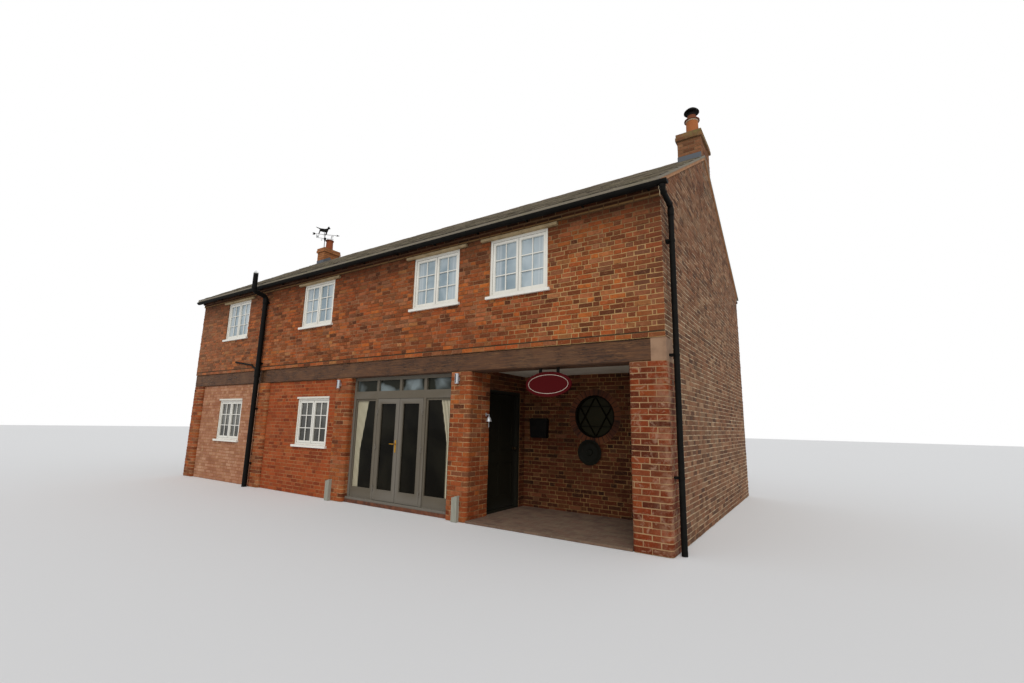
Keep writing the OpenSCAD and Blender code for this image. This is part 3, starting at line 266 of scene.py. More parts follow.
OLD = ((0.0, "4c2814"), (0.12, "70391a"), (0.3, "92491f"), (0.48, "a95626"), (0.62, "974e24"),
       (0.74, "7a4524"), (0.86, "bb6629"), (0.95, "6c4226"), (1.0, "ae7440"))
RED = ((0.0, "702c12"), (0.2, "813616"), (0.45, "93401b"), (0.7, "9e481f"), (0.88, "8a3e1b"), (1.0, "a25426"))
PIER = ((0.0, "4a2210"), (0.12, "6e3418"), (0.35, "8b431d"), (0.55, "a04f23"), (0.75, "8f4822"),
        (0.9, "a95e29"), (1.0, "744629"))
# The porch's palette is darkened with painted shade, as the porch lies in deep shade.
PORCH = ((0.0, "1c0b05"), (0.2, "3a170a"), (0.45, "4e200f"), (0.7, "5a2711"), (0.88, "4a2a14"),
         (1.0, "64361a"))
RING = ((0.0, "40200e"), (0.3, "542912"), (0.6, "633318"), (1.0, "72401e"))
PINK = ((0.0, "966a50"), (0.25, "a0735a"), (0.5, "aa7d62"), (0.75, "b1866a"), (1.0, "b88f74"))
GABLE = ((0.0, "443227"), (0.2, "614532"), (0.4, "78563e"), (0.6, "856046"), (0.8, "6e5743"), (1.0, "9c7d60"))
GABLE_MORTAR = ("cab697", "a48e70")
STACK = ((0.0, "5c3e2a"), (0.2, "725036"), (0.4, "865f42"), (0.6, "7a583e"), (0.8, "8e6748"), (1.0, "9a7856"))

old_brick = brick_mat("old_brick", OLD, place=front_places, mottle=0.62)
# band_brick carries the band's painted shade.
band_brick = brick_mat("band_brick", OLD, place=band_places)
new_brick = brick_mat("red_brick", RED, "9c6442", 0.68, mottle=0.18)
pier_brick = brick_mat("pier_brick", PIER, "b08058", 0.64, place=pier_places, mottle=0.55)
# porch_brick's dark palette carries painted shade.
porch_brick = brick_mat("porch_brick", PORCH, "5a3c26", 0.68, mottle=0.3)
pink_brick = brick_mat("pink_brick", PINK, "b89472", 0.54, 0.6, mottle=0.15)
gable_brick = brick_mat("gable_brick", GABLE, "a88c6c", 0.58, 0.6, mottle=0.3)
stack_brick = brick_mat("stack_brick", STACK, "8c7254", 0.6, 0.5, place=stack_places, mottle=0.45)


def voussoir_mat():
    """The ring of bricks: the joints between the source's wedges show mortar, and each wedge its own tone.
    Its inner face, set back in the opening, is painted dark as shade.
    """
    m = Mat("ring_brick", 0.92)
    x, y, z = m.xyz()
    turn = m.math("ARCTAN2", m.math("SUBTRACT", z, ROUND_Z), m.math("SUBTRACT", x, ROUND_X))
    k = m.math("FLOOR", m.times(m.math("ADD", turn, 7.0), 32 / math.tau))
    c = m.ramp(m.shuffle(k, 1.37), *RING)
    patch = m.noise(24, 4, 0.7)
    c = m.fade(c, "54301f", patch, 0.4, 0.75, 0.5)
    # Painted shade on the ring's inner face, behind the porch wall's face.
    c = m.mix(m.over(y, PORCH_Y + 0.003), c, "1c0f08")
    return m.colour(c).bump(m.noise(140, 3, 0.8), 0.002, 0.5).bump(patch, 0.005, 0.5).m


def timber_mat(name, stops, stretch, crack=1.0):
    """Weathered oak: long grain, darker shakes and pale bleached streaks."""
    m = Mat(name, 0.8)
    long = m.at(stretch)
    grain = m.noise(9, 6, 0.62, long, 0.6)
    fine = m.noise(60, 4, 0.7, long)
    c = m.ramp(grain, *stops)
    c = m.fade(c, "2a1a12", fine, 0.45, 0.75, 0.45)
    shake = m.noise(14, 3, 0.5, m.at(tuple(s * 0.6 for s in stretch)), 1.4)
    split = m.times(m.spread(m.off(shake, 0.5), 0.02, 0.0), m.spread(m.noise(2.2, 2), 0.42, 0.54))
    c = m.mix(m.times(split, 0.92 * crack), c, "0c0705")
    c = m.fade(c, "7a5a3c", m.noise(1.6), 0.52, 0.75, 0.35)
    m.colour(c).rough(fine, 0.68, 0.92)
    return m.bump(fine, 0.003, 0.7).bump(split, -0.008, crack).m


beam_wood = timber_mat("beam_oak", ((0.25, "2c180a"), (0.42, "4a2c14"), (0.58, "5c391b"), (0.76, "845c34")),
                       (0.35, 6, 6))


def paint_mat(name, base, dirt, rough=0.5, wear=0.5, shine=0.5):
    """Brushed paint over timber, with dirt in soft patches and streaks, and paler on its sharp edges."""
    m = Mat(name, rough, shine=shine)
    soft = m.noise(2.5, 5)
    streak = m.noise(26, 4, 0.6, m.at((1, 1, 0.12)))
    c = m.fade(base, dirt, soft, 0.4, 0.75, 0.35 * wear)
    c = m.fade(c, dirt, streak, 0.5, 0.8, 0.4 * wear)
    edge = m.node("NewGeometry").outputs["Pointiness"]
    c = m.fade(c, m.mix(0.5, base, "ffffff"), edge, 0.51, 0.58, 0.3 * wear)
    return m.colour(c).rough(soft, rough - 0.08, rough + 0.1).bump(streak, 0.0008, 0.6).m


def lintel_mat():
    """The strips over the upper windows are bare mortar, the boards over the lower ones are painted."""
    m = Mat("lintel_paint", 0.75)
    low = m.spread(m.xyz()[2], STOREY_Z + 0.1, STOREY_Z)
    strip = m.fade("a8916c", "75603f", m.noise(9, 5, 0.7), 0.4, 0.7, 0.8)
    return m.colour(m.mix(low, strip, "d2cec2")).bump(m.noise(60, 3), 0.001, 0.6).m


white_paint = paint_mat("white_paint", "e0ddd3", "b0aa9d", 0.45, 0.5)
# Painted shade: the dark paint of the lines round each sash stands for the shade in its gap.
sash_shade_paint = paint_mat("sash_gap_shade", "5a5650", "3c3833", 0.8, 0.2, 0.1)
line_paint = paint_mat("sign_line", "c8bfae", "9a8f7c", 0.7, 0.3, 0.1)


def glass_mat(name, dark, sky, share, rough=0.05, shine=0.5):
    """Window glass: the dark of the room behind it is painted shade, and a painted reflection of a soft
    uneven sky lies over it in places.
    """
    m = Mat(name, rough, shine=shine, ior=1.45)
    sky_reflection_patches = m.noise(1.6, 3, 0.5, m.at((1, 1, 0.8)), 0.5)
    # Painted reflection: the sky colour is laid over the dark in soft patches.
    c = m.fade(dark, sky, sky_reflection_patches, 0.42, 0.62, share)
    return m.colour(c).bump(m.noise(2.4, 2, 0.5), 0.004, 0.2)


def shaded_folds(m, wander, per_metre, *stops):
    """Cloth hung in upright pleats that wander a little, with painted light and shade across each pleat."""
    wave = m.math("ADD", m.xyz()[0], m.times(m.noise(1.5, 2), wander))
    # Painted light and shade: the colour swings from dark to pale across each pleat.
    return m.ramp(m.spread(m.math("SINE", m.times(wave, per_metre)), -1, 1), *stops)


def casement_glass_mat():
    """A painted reflection of pale sky in the upper panes, with curtains at their sides; darker rooms in
    painted shade, with paler patches, behind the lower ones.
    """
    m = glass_mat("casement_glass", "80919a", "b2bec3", 0.8)
    upper, (x, _, z) = m.c, m.xyz()
    low = m.fade("2c2a24", "6a6a62", m.noise(2.1, 3, 0.5, warp=0.4), 0.42, 0.66, 0.7)
    cloth = shaded_folds(m, 0.04, 110.0, (0.1, "a6b0b4"), (0.9, "b9c1c4"))
    for centre in UPPER_X:
        side = m.off(m.off(x, centre), 0.42)
        upper = m.mix(m.spread(side, 0.06, 0.1, 0.7, 0.0), upper, cloth)
    return m.colour(m.mix(m.over(z, STOREY_Z), low, upper)).m


def leaf_glass_mat():
    """The glazed doors' panes: a dark room in painted shade, a painted reflection of trees and sky in the top
    lights, and pleated pale curtains with painted shade in their pleats at both ends of the bay.
    """
    m = glass_mat("leaf_glass", "0c0a05", "221f16", 0.5, 0.05, 0.07)
    x, _, z = m.xyz()
    # Painted reflection of trees and sky in the top lights.
    sky = m.ramp(m.noise(1.7, 3, 0.5, warp=0.4), (0.45, "26271f"), (0.62, "7f898a"))
    room = m.fade(m.c, sky, z, TRANSOM_Z, TRANSOM_Z + 0.02)
    cloth = shaded_folds(m, 0.03, 190.0, (0.1, "6a624e"), (0.6, "b0a88e"), (1.0, "cec6ac"))
    hung = []
    for a, b, wide in ((x, BAY_GLASS[0], (1.0, 1.95, 0.17, 0.34)), (BAY_GLASS[1], x, (1.2, 1.95, 0.1, 0.26))):
        past = m.math("SUBTRACT", m.math("SUBTRACT", a, b), m.spread(z, *wide))
        hung.append(m.spread(past, 0.012, 0.0))
    shown = m.times(m.math("MAXIMUM", *hung), m.spread(z, TRANSOM_Z, TRANSOM_Z - 0.02))
    return m.colour(m.mix(shown, room, cloth)).m


def metal_mat(name, base, rough, metal=0.0, rust=0.0, shine=0.35, dust=0.16):
    """Painted or bare metal with dust, small dents and a little rust."""
    m = Mat(name, rough, metal, shine)
    patch = m.noise(7, 5, 0.65)
    fine = m.noise(90, 3, 0.7)
    c = m.fade(base, m.mix(dust, base, "8a8378"), patch, 0.45, 0.75, 0.35)
    if rust:
        c = m.fade(c, "5a2f1a", m.noise(18, 6, 0.75), 0.6, 0.72, rust)
    return m.colour(c).rough(patch, rough - 0.07, rough + 0.14).bump(fine, 0.0006, 0.5).m


black_iron = metal_mat("black_iron", "100e0c", 0.7, 0.0, 0.25, 0.12, 0.08)


def soil_mat():
    """The black soil pipe, with a grey cage over its open top."""
    m = Mat("soil_pipe", 0.68, shine=0.1)
    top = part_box("soil_pipe")[1].z
    c = m.fade("0c0b09", "171513", m.noise(7, 5, 0.65), 0.45, 0.75, 0.35)
    c = m.fade(c, "8d8f8c", m.xyz()[2], top - 0.085, top - 0.075)
    return m.colour(c).bump(m.noise(90, 3, 0.7), 0.0006, 0.5).m


def pot_places(m, c):
    """The left pot is a deeper red with a dark rim. The right one is orange up to its collar, rusty above."""
    x, _, z = m.xyz()
    left = m.fade(m.mix(0.6, c, "8a3a16"), "4a2010", z, STACK_L[3] + 0.32, STACK_L[3] + 0.34, 0.6)
    ring, flange = STACK_R[3] + 0.455, STACK_R[3] + 0.478
    right = m.fade(m.mix(0.5, c, "b4682e"), "c9b79c", z, ring, ring + 0.003)
    right = m.fade(right, m.mix(0.6, c, "5c2610"), z, flange, flange + 0.003)
    return m.mix(m.over(x, 0.0), left, right)


def clay_mat(name, stops, moss, place=None):
    """Fired clay with sooty patches and a little moss."""
    m = Mat(name, 0.88)
    c = m.ramp(m.noise(6, 5, 0.65), *stops)
    if place:
        c = place(m, c)
    c = m.fade(c, "5a5236", m.noise(12, 5, 0.7), 0.55, 0.75, moss)
    return m.colour(c).bump(m.noise(150, 3, 0.7), 0.0015, 0.6).m


ridge_clay = clay_mat("ridge_clay", ((0.3, "3a2a20"), (0.5, "5b4232"), (0.7, "6f5744")), 0.5)


def slate_mat(name, tone=None):
    """Old stone slates: brown-grey and olive, each its own tone, with pale lichen."""
    m = Mat(name, 0.86)
    t = tone or m.tone()
    # Tone 0.0 is the painted shadow under each slate's tail.
    c = m.ramp(t, (0.0, "2c2720"), (0.03, "6c6356"), (0.25, "857b6b"), (0.5, "968c7a"), (0.72, "887f6c"),
               (0.88, "a69a84"), (1.0, "7c7466"))
    c = m.fade(c, "4a4238", m.shuffle(t, 613), 0, 1, 0.35)
    c = m.fade(c, "6f6a48", m.noise(2.2, 5, 0.65), 0.5, 0.75, 0.5)
    spot = m.noise(22, 5, 0.7, warp=0.8)
    c = m.fade(c, "a39a7c", spot, 0.58, 0.68, 0.7)
    c = m.fade(c, "4e4639", m.noise(60, 3, 0.7), 0.5, 0.75, 0.35)
    rift = m.noise(30, 5, 0.7, m.at((1, 0.25, 0.25)))
    return m.colour(c).rough(spot, 0.78, 0.95).bump(rift, 0.003, 0.6).m


slate = slate_mat("lichen_slate")


def floor_places(m, c):
    """The floor's front edge under the glazed doors is dark brick in shadow."""
    edge = m.fade("4a2a1a", "6a3c24", m.noise(9, 3), 0.4, 0.6)
    return m.fade(c, edge, m.xyz()[1], FRONT + 0.35, FRONT + 0.3)


def plaster_mat(name, base, dirt, scale=3.0, place=None):
    """Plaster, mortar or concrete with wide stains."""
    m = Mat(name, 0.9)
    c = m.fade(base, dirt, m.noise(scale, 5), 0.4, 0.75, 0.5)
    return m.colour(place(m, c) if place else c).bump(m.noise(80, 3), 0.001, 0.4).m


def paviour_mat():
    """Worn brick paviours, laid flat."""
    m = Mat("paviours", 0.88)
    ins = {"Vector": m.p, "Scale": 1.0, "Mortar Size": 0.006, "Brick Width": 0.22, "Row Height": 0.11,
           "Color1": hexed("6c5040"), "Color2": hexed("574034"), "Mortar": hexed("6c604e")}
    tex = m.node("TexBrick", ins)
    c = m.fade(tex.outputs[0], "7c6c56", m.noise(5, 5, 0.65), 0.4, 0.75, 0.6)
    return m.colour(c).bump(tex.outputs[1], -0.004, 0.8).bump(m.noise(90, 3), 0.002, 0.5).m


# Mesh tools
def new_object(name, data):
    o = bpy.data.objects.new(name, data)
    bpy.context.scene.collection.objects.link(o)
    return o


class Build:
    """Gathers vertices and faces, each face with the tone of its brick, slate or board."""

    def __init__(self):
        self.v, self.f, self.t = [], [], []

    def add(self, points, faces, tone=0.5):
        k = len(self.v)
        self.v += [tuple(p) for p in points]
        self.f += [tuple(k + i for i in f) for f in faces]
        self.t += [tone] * len(faces)

    def sweep(self, pts, n, tone=0.5, capped=True):
        """Skins rings of n points, one after another, with flat ends."""
        last = len(pts) - n
        faces = [(k + i, k + (i + 1) % n, k + n + (i + 1) % n, k + n + i)
                 for k in range(0, last, n) for i in range(n)]
        if capped:
            faces += [tuple(range(n))[::-1], tuple(range(last, last + n))]
        self.add(pts, faces, tone)

    def box(self, x0, x1, y0, y1, z0, z1, chamfer=0.0):
        """A box with its four long edges (along its longest side) chamfered."""
        lo, hi = (x0, y0, z0), (x1, y1, z1)
        size = [hi[i] - lo[i] for i in range(3)]
        a = size.index(max(size))
        b, c = [i for i in range(3) if i != a]
        k = chamfer
        if k:
            ring = [(lo[b] + k, lo[c]), (hi[b] - k, lo[c]), (hi[b], lo[c] + k), (hi[b], hi[c] - k),
                    (hi[b] - k, hi[c]), (lo[b] + k, hi[c]), (lo[b], hi[c] - k), (lo[b], lo[c] + k)]
        else:
            ring = [(lo[b], lo[c]), (hi[b], lo[c]), (hi[b], hi[c]), (lo[b], hi[c])]
        pts = []
        for end in (lo[a], hi[a]):
            for p, q in ring:
                v = [0, 0, 0]
                v[a], v[b], v[c] = end, p, q
                pts.append(v)
        self.sweep(pts, len(ring))

    def lathe(self, centre, profile, steps):
        """Turns (radius, height) pairs round an upright axis."""
        x, y, z = centre
        turn = [math.tau * i / steps for i in range(steps)]
        pts = [(x + r * math.cos(a), y + r * math.sin(a), z + h) for r, h in profile for a in turn]
        self.sweep(pts, steps, capped=False)

    def tube(self, path, r, steps):
        """A round bar along a path of points, with flat ends."""
        path = [Vector(p) for p in path]
        pts = []
        for i, p in enumerate(path):
            d = (path[min(i + 1, len(path) - 1)] - path[max(i - 1, 0)]).normalized()
            side = d.cross(Vector((0, 0, 1)) if abs(d.z) < 0.9 else Vector((1, 0, 0))).normalized()
            up = side.cross(d)
            for s in range(steps):
                a = math.tau * s / steps
                pts.append(p + side * math.cos(a) * r + up * math.sin(a) * r)
        self.sweep(pts, steps)

    def piece(self, name, material, slot, replaces=None, bevel=0.0):
        """Makes the gathered mesh an object that rides on the building."""
        mesh = bpy.data.meshes.new(name)
        mesh.from_pydata(self.v, [], self.f)
        mesh.attributes.new("tone", "FLOAT", "FACE").data.foreach_set("value", self.t)
        mesh.materials.append(material)
        mesh.validate()
        o = new_object(name, mesh)
        if bevel:
            mod = o.modifiers.new("edges", "BEVEL")
            mod.width, mod.segments, mod.limit_method, mod.angle_limit = bevel, 2, "ANGLE", 0.6
        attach(o, "building")
        if replaces:
            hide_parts(replaces)


# Brickwork
STRETCHER, HEADER, CLOSER, JOINT, COURSE = 0.215, 0.1025, 0.048, 0.0105, 0.0715


class Face:
    """A brick-faced wall: a plan path in metres, laid in courses. place(s, z, h) is h proud of it."""

    def __init__(self, build, path, seed, proud=0.005, rough=0.0022, jitter=0.002):
        self.b, self.rng = build, random.Random(seed)
        self.proud, self.rough_h, self.jitter = proud, rough, jitter
        self.pts = [Vector((p[0], p[1])) for p in path]
        self.s = [0.0]
        for a, b in zip(self.pts, self.pts[1:]):
            self.s.append(self.s[-1] + (b - a).length)
        self.length = self.s[-1]
        seg = [(b - a).normalized() for a, b in zip(self.pts, self.pts[1:])]
        right = [Vector((d.y, -d.x)) for d in seg]
        self.n = [right[0]]
        for a, b in zip(right, right[1:]):
            m = (a + b).normalized()
            self.n.append(m / max(0.5, m.dot(a)))
        self.n.append(right[-1])

    def place(self, s, z, h):
        k = 0
        while k < len(self.s) - 2 and s > self.s[k + 1]:
            k += 1
        t = (s - self.s[k]) / (self.s[k + 1] - self.s[k])
        p = self.pts[k].lerp(self.pts[k + 1], t)
        n = self.n[k].lerp(self.n[k + 1], t) if len(self.pts) > 2 else self.n[0]
        return (p.x + n.x * h, p.y + n.y * h, z)

    def brick(self, a, b, c, d, base=-0.001):
        """One brick face from a to b along the wall and c to d in height."""
        r, j = self.rng, self.jitter
        tone = r.random()
        h = self.proud + r.uniform(-self.rough_h, self.rough_h)
        knots = [k for k in self.s[1:-1] if a + 0.002 < k < b - 0.002]
        cut = min(0.0035, (b - a) * 0.2, (d - c) * 0.2)
        e = [r.uniform(-j, j) for _ in range(8)]
        tilt = [r.uniform(-1, 1) * self.rough_h * 0.5 for _ in range(4)]

        def inner(row, z, up):
            (s0, z0), (s1, z1) = row[0], row[-1]
            return [(s0 + cut, z0 + up)] + [(k, z + up) for k in knots] + [(s1 - cut, z1 + up)]
        low_o = [(a + e[0], c + e[1])] + [(k, c) for k in knots] + [(b + e[2], c + e[3])]
        top_o = [(a + e[4], d + e[5])] + [(k, d) for k in knots] + [(b + e[6], d + e[7])]
        n = len(low_o)
        pts = [self.place(s, z, base) for s, z in low_o + top_o]
        for row, (first, rest) in ((inner(low_o, c, cut), tilt[:2]), (inner(top_o, d, -cut), tilt[2:])):
            pts += [self.place(s, z, h + (rest if i else first)) for i, (s, z) in enumerate(row)]
        faces = []
        for i in range(n - 1):
            faces += [(2 * n + i, 2 * n + i + 1, 3 * n + i + 1, 3 * n + i),
                      (i, i + 1, 2 * n + i + 1, 2 * n + i), (n + i + 1, n + i, 3 * n + i, 3 * n + i + 1)]
        faces += [(n, 0, 2 * n, 3 * n), (n - 1, 2 * n - 1, 4 * n - 1, 3 * n - 1)]
        self.b.add(pts, faces, tone)

    def shape(self, poly):
        """A cut brick with any convex outline."""
        tone = self.rng.random()
        h = self.proud + self.rng.uniform(-self.rough_h, self.rough_h)
        cs, cz = sum(p[0] for p in poly) / len(poly), sum(p[1] for p in poly) / len(poly)

        def inset(v, c):
            return v + math.copysign(min(0.0035, abs(c - v) / 2), c - v)
        inner = [(inset(s, cs), inset(z, cz)) for s, z in poly]
        n = len(poly)
        pts = [self.place(s, z, -0.001) for s, z in poly] + [self.place(s, z, h) for s, z in inner]
        sides = [(i, (i + 1) % n, n + (i + 1) % n, n + i) for i in range(n)]
        self.b.add(pts, [tuple(range(n, 2 * n))] + sides, tone)

    def course(self, s0, s1, k, bond):
        """Brick ends along one course."""
        r, out, s, i = self.rng, [], s0, 0
        if bond == "flemish":
            first = [STRETCHER, HEADER] if k % 2 == 0 else [HEADER, CLOSER, STRETCHER]
            loop = [STRETCHER, HEADER] if k % 2 == 0 else [HEADER, STRETCHER]
        else:
            first, loop = [STRETCHER if k % 2 == 0 else HEADER], [STRETCHER]
        while s < s1 - 0.02:
            w = first[i] if i < len(first) else loop[(i - len(first)) % len(loop)]
            if bond == "flemish" and i > 3 and r.random() < 0.13:
                w = STRETCHER if w == HEADER else HEADER
            e = s + w + r.uniform(-1, 1) * self.jitter * 1.5
            if e > s1 - 0.045:
                e = s1
            out.append((s, e))
            s = e + JOINT
            i += 1
        return out

    def lay(self, s0, s1, z0, z1, holes=(), bond="flemish", height=COURSE, clips=(), circle=None,
            flip=False, first=0):
        """Courses over the rectangle s0..s1, z0..z1, cut round holes, sloping clips and a circle."""
        count = max(1, round((z1 - z0) / height))
        step = (z1 - z0) / count
        for k in range(count):
            c, d = z0 + k * step + JOINT / 2, z0 + (k + 1) * step - JOINT / 2
            for a, b in self.course(s0, s1, k + first, bond):
                if flip:
                    a, b = s0 + s1 - b, s0 + s1 - a
                rects = [(a, b, c, d)]
                for hole in holes:
                    rects = [q for rect in rects for q in cut_rect(rect, hole)]
                for rect in rects:
                    poly = [(rect[0], rect[2]), (rect[1], rect[2]), (rect[1], rect[3]), (rect[0], rect[3])]
                    whole = True
                    for nx, nz, lim in self.clip_lines(poly, clips, circle):
                        if any(nx * s + nz * z > lim for s, z in poly):
                            poly, whole = clip_poly(poly, nx, nz, lim), False
                    if whole:
                        self.brick(*rect)
                    elif len(poly) > 2 and area(poly) > 0.0004:
                        self.shape(poly)

    def clip_lines(self, poly, clips, circle):
        lines = list(clips)
        if circle:
            cx, cz, r = circle
            mx, mz = sum(p[0] for p in poly) / 4 - cx, sum(p[1] for p in poly) / 4 - cz
            dist = math.hypot(mx, mz) or 1e-6
            if dist < r + 0.13:
                lines.append((-mx / dist, -mz / dist, -(r + (mx * cx + mz * cz) / dist)))
        return lines


def cut_rect(rect, hole):
    a, b, c, d = rect
    e, f, g, h = hole
    if f <= a or e >= b or h <= c or g >= d:
        return [rect]
    out = []
    if e - a > 0.02:
        out.append((a, e - 0.002, c, d))
    if b - f > 0.02:
        out.append((f + 0.002, b, c, d))
    m0, m1 = max(a, e), min(b, f)
    if g - c > 0.014:
        out.append((m0, m1, c, g - 0.002))
    if d - h > 0.014:
        out.append((m0, m1, h + 0.002, d))
    return out


def clip_poly(poly, nx, nz, lim):
    out = []
    for i, p in enumerate(poly):
        q = poly[(i + 1) % len(poly)]
        dp, dq = lim - nx * p[0] - nz * p[1], lim - nx * q[0] - nz * q[1]
        if dp >= 0:
            out.append(p)
        if (dp < 0) != (dq < 0):
            t = dp / (dp - dq)
            out.append((p[0] + (q[0] - p[0]) * t, p[1] + (q[1] - p[1]) * t))
    return out


def area(poly):
    return abs(sum(p[0] * q[1] - q[0] * p[1] for p, q in zip(poly, poly[1:] + poly[:1]))) / 2


def window_holes(xs, z, w=0, h=0):
    """Windows, and over each the place of its strip or arch, w wide and h high."""
    holes = [(x - WIN_W / 2 + END, x + WIN_W / 2 + END, z, z + WIN_H) for x in xs]
    return holes + [(x - w / 2 + END, x + w / 2 + END, z + WIN_H, z + WIN_H + h) for x in xs if h]


def front_wall():
    b = Build()
    f = Face(b, [(-END, FRONT), (END, FRONT)], 11, 0.006, 0.0035, 0.0036)
    f.lay(0, 2 * END, BEAM_TOP, FIRST_Z - 0.004, bond="stretcher", flip=True)
    f.lay(0, 2 * END, FIRST_Z + 0.008, BAND_Z, window_holes(UPPER_X, UPPER_Z, STRIP_W, STRIP_H), flip=True)
    b.piece("front_wall_bricks", old_brick, "old_brick")
    band(-1, "front_band_bricks")


def band(side, name):
    """The oversailing courses under the eaves: one half out, then two at the full width."""
    b = Build()
    y = side * BACK
    top = PLATE_Z - BAND_Z - 0.075
    levels = (0, 0.075, 0.075 + top / 2, 0.075 + top)
    for k, out in enumerate((0.03, 0.06, 0.06)):
        ends = [(-END, y + side * out), (END, y + side * out)]
        f = Face(b, ends if side < 0 else ends[::-1], 21 + k, 0.004)
        for a, e in f.course(0, 2 * END, k, "stretcher"):
            f.brick(a, e, BAND_Z + levels[k] + 0.001, BAND_Z + levels[k + 1] - 0.008, base=-0.03)
    b.piece(name, band_brick, "old_brick")


def rear_wall():
    """The back: plain courses, with a flat arch of upright bricks over each lower window."""
    b = Build()
    f = Face(b, [(END, BACK), (-END, BACK)], 31)
    xs = [-x for x in REAR_X]
    f.lay(0, 2 * END, 0, BAND_Z, window_holes(xs, UPPER_Z) + window_holes(xs, LOWER_Z, ARCH_W, ARCH_H))
    wide, z = ARCH_W / 17, LOWER_Z + WIN_H
    for x in xs:
        for i in range(17):
            a = x + END - ARCH_W / 2 + i * wide
            f.brick(a + 0.005, a + wide - 0.005, z + 0.004, z + ARCH_H - 0.004)
    b.piece("rear_wall_bricks", old_brick, "old_brick")
    band(1, "rear_band_bricks")


def gable(side):
    """Bricks up to the slope. The end pier and the beam's end take the front corner."""
    b = Build()
    x = side * END
    path = [(x, FRONT), (x, BACK)] if side > 0 else [(x, BACK), (x, FRONT)]
    f = Face(b, path, 41 + side, rough=0.003, jitter=0.003)

    def hole(y0, y1, z0, z1):
        return (*sorted(y - FRONT if side > 0 else BACK - y for y in (y0, y1)), z0, z1)
    y = FRONT - 0.1
    holes = [hole(y, FRONT + PIER_D, -0.1, SOFFIT), hole(y, FRONT + 0.33, SOFFIT, BEAM_TOP)]
    if side > 0:
        holes.append(hole(STACK_Y, STACK_Y + STACK_R[2], 6.0, 9))
    k = 1 / math.hypot(1, SLOPE)
    top = PLATE_Z - 0.018
    clips = [(-SLOPE * k, k, top * k), (SLOPE * k, k, (top + 2 * BACK * SLOPE) * k)]
    f.lay(0, 2 * BACK, 0, RIDGE_Z, holes, clips=clips, first=1, flip=side < 0)
    b.piece("left_gable_bricks" if side < 0 else "right_gable_bricks", gable_brick, "old_brick")


def pier_path(x, w):
    r, y = PIER_R, FRONT
    pts = [(x, y + PIER_D), (x, y + r)]
    pts += [(x + r - r * math.cos(a), y + r - r * math.sin(a)) for a in (0.39, 0.785, 1.18)]
    pts += [(x + r, y), (x + w - r, y)]
    pts += [(x + w - r + r * math.sin(a), y + r - r * math.cos(a)) for a in (0.39, 0.785, 1.18)]
    return pts + [(x + w, y + r), (x + w, y + PIER_D)]


def piers():
    b = Build()
    for i, (x, w) in enumerate(PIERS):
        f = Face(b, pier_path(x, w), 51 + i, 0.004, 0.0025, 0.0025)
        mid, half = f.length / 2, w / 2 - PIER_R + 0.086
        rows = 31
        for k in range(rows):
            c, d = k * SOFFIT / rows + JOINT / 2, (k + 1) * SOFFIT / rows - JOINT / 2
            turn = HEADER if k % 2 == 0 else STRETCHER
            edge = half + turn - PIER_R
            ends, loop = [(JOINT / 2, edge)], (STRETCHER, HEADER, STRETCHER)
            if k % 2:
                ends = [(-STRETCHER / 2, STRETCHER / 2), (STRETCHER / 2 + JOINT, edge)]
                loop = (HEADER, STRETCHER)
            rest = edge + JOINT
            for wide in loop:
                ends.append((rest, min(rest + wide, mid)))
                rest += wide + JOINT
            for a, e in ends:
                if e - a < 0.03 or a > mid - 0.02:
                    continue
                f.brick(mid + a, mid + e, c, d)
                if a > 0:
                    f.brick(mid - e, mid - a, c, d)
    b.piece("pier_bricks", pier_brick, "old_brick")


def infill():
    y = FRONT + 0.06
    for name, x0, x1, win, mat, seed in (("bay_one_bricks", -6.0, -3.185, LOWER_X[0], pink_brick, 61),
                                         ("bay_two_bricks", -2.735, -0.2, LOWER_X[1], new_brick, 62)):
        b = Build()
        f = Face(b, [(x0, y), (x1, y)], seed, 0.003, 0.001, 0.001)
        hole = [(win - x0 - WIN_W / 2, win - x0 + WIN_W / 2, LOWER_Z, LOWER_Z + WIN_H)]
        f.lay(0.002, x1 - x0 - 0.002, 0, SOFFIT, hole, height=0.0745)
        b.piece(name, mat, "new_brick")


def porch():
    """Back wall round the window, the side wall past the door, and the inner side of the end wall."""
    b = Build()
    f = Face(b, [(PORCH_X, PORCH_Y), (PORCH_END, PORCH_Y)], 71)
    f.lay(0, PORCH_END - PORCH_X, 0, PORCH_TOP, circle=(ROUND_X - PORCH_X, ROUND_Z, ROUND_R + 0.117))
    near = DOOR_Y - 0.01
    f = Face(b, [(PORCH_X, near), (PORCH_X, PORCH_Y)], 72)
    f.lay(0.0, PORCH_Y - near, 0, PORCH_TOP, [(-0.1, DOOR_Y + DOOR_W - near, 0, DOOR_H)])
    f = Face(b, [(PORCH_END, PORCH_Y), (PORCH_END, FRONT + PIER_D)], 73)
    f.lay(0, PORCH_Y - FRONT - PIER_D, 0, PORCH_TOP)
    b.piece("porch_bricks", porch_brick, "new_brick")


def stacks():
    """Both chimneys in stretchers, each with two courses stepped out at its head."""
    b = Build()
    for x, w, d, top in (STACK_R, STACK_L):
        cap = top - 0.15

        def sides(out, seed, proud, rough):
            x0, x1, y0, y1 = x - out, x + w + out, STACK_Y - out, STACK_Y + d + out
            loop = [(x0, y0), (x1, y0), (x1, y1), (x0, y1), (x0, y0)]
            return [Face(b, loop[i:i + 2], seed + i, proud, rough) for i in range(4)]
        for i, f in enumerate(sides(0.0, 81, 0.004, 0.0022)):
            f.lay(0, f.length, 6.0 if x > 0 and i == 1 else 6.4, cap, bond="stretcher", first=i % 2)
        for k, out in enumerate((0.035, 0.023)):
            for i, f in enumerate(sides(out, 91 + k, 0.002, 0.001)):
                for a, e in f.course(0, f.length, k + i, "stretcher"):
                    f.brick(a, e, cap + 0.075 * k - 0.001, cap + 0.075 * (k + 1) - 0.009, base=-0.03)
    b.piece("stack_bricks", stack_brick, "old_brick")


front_wall()
rear_wall()
gable(-1)
gable(1)
piers()
infill()
porch()
stacks()


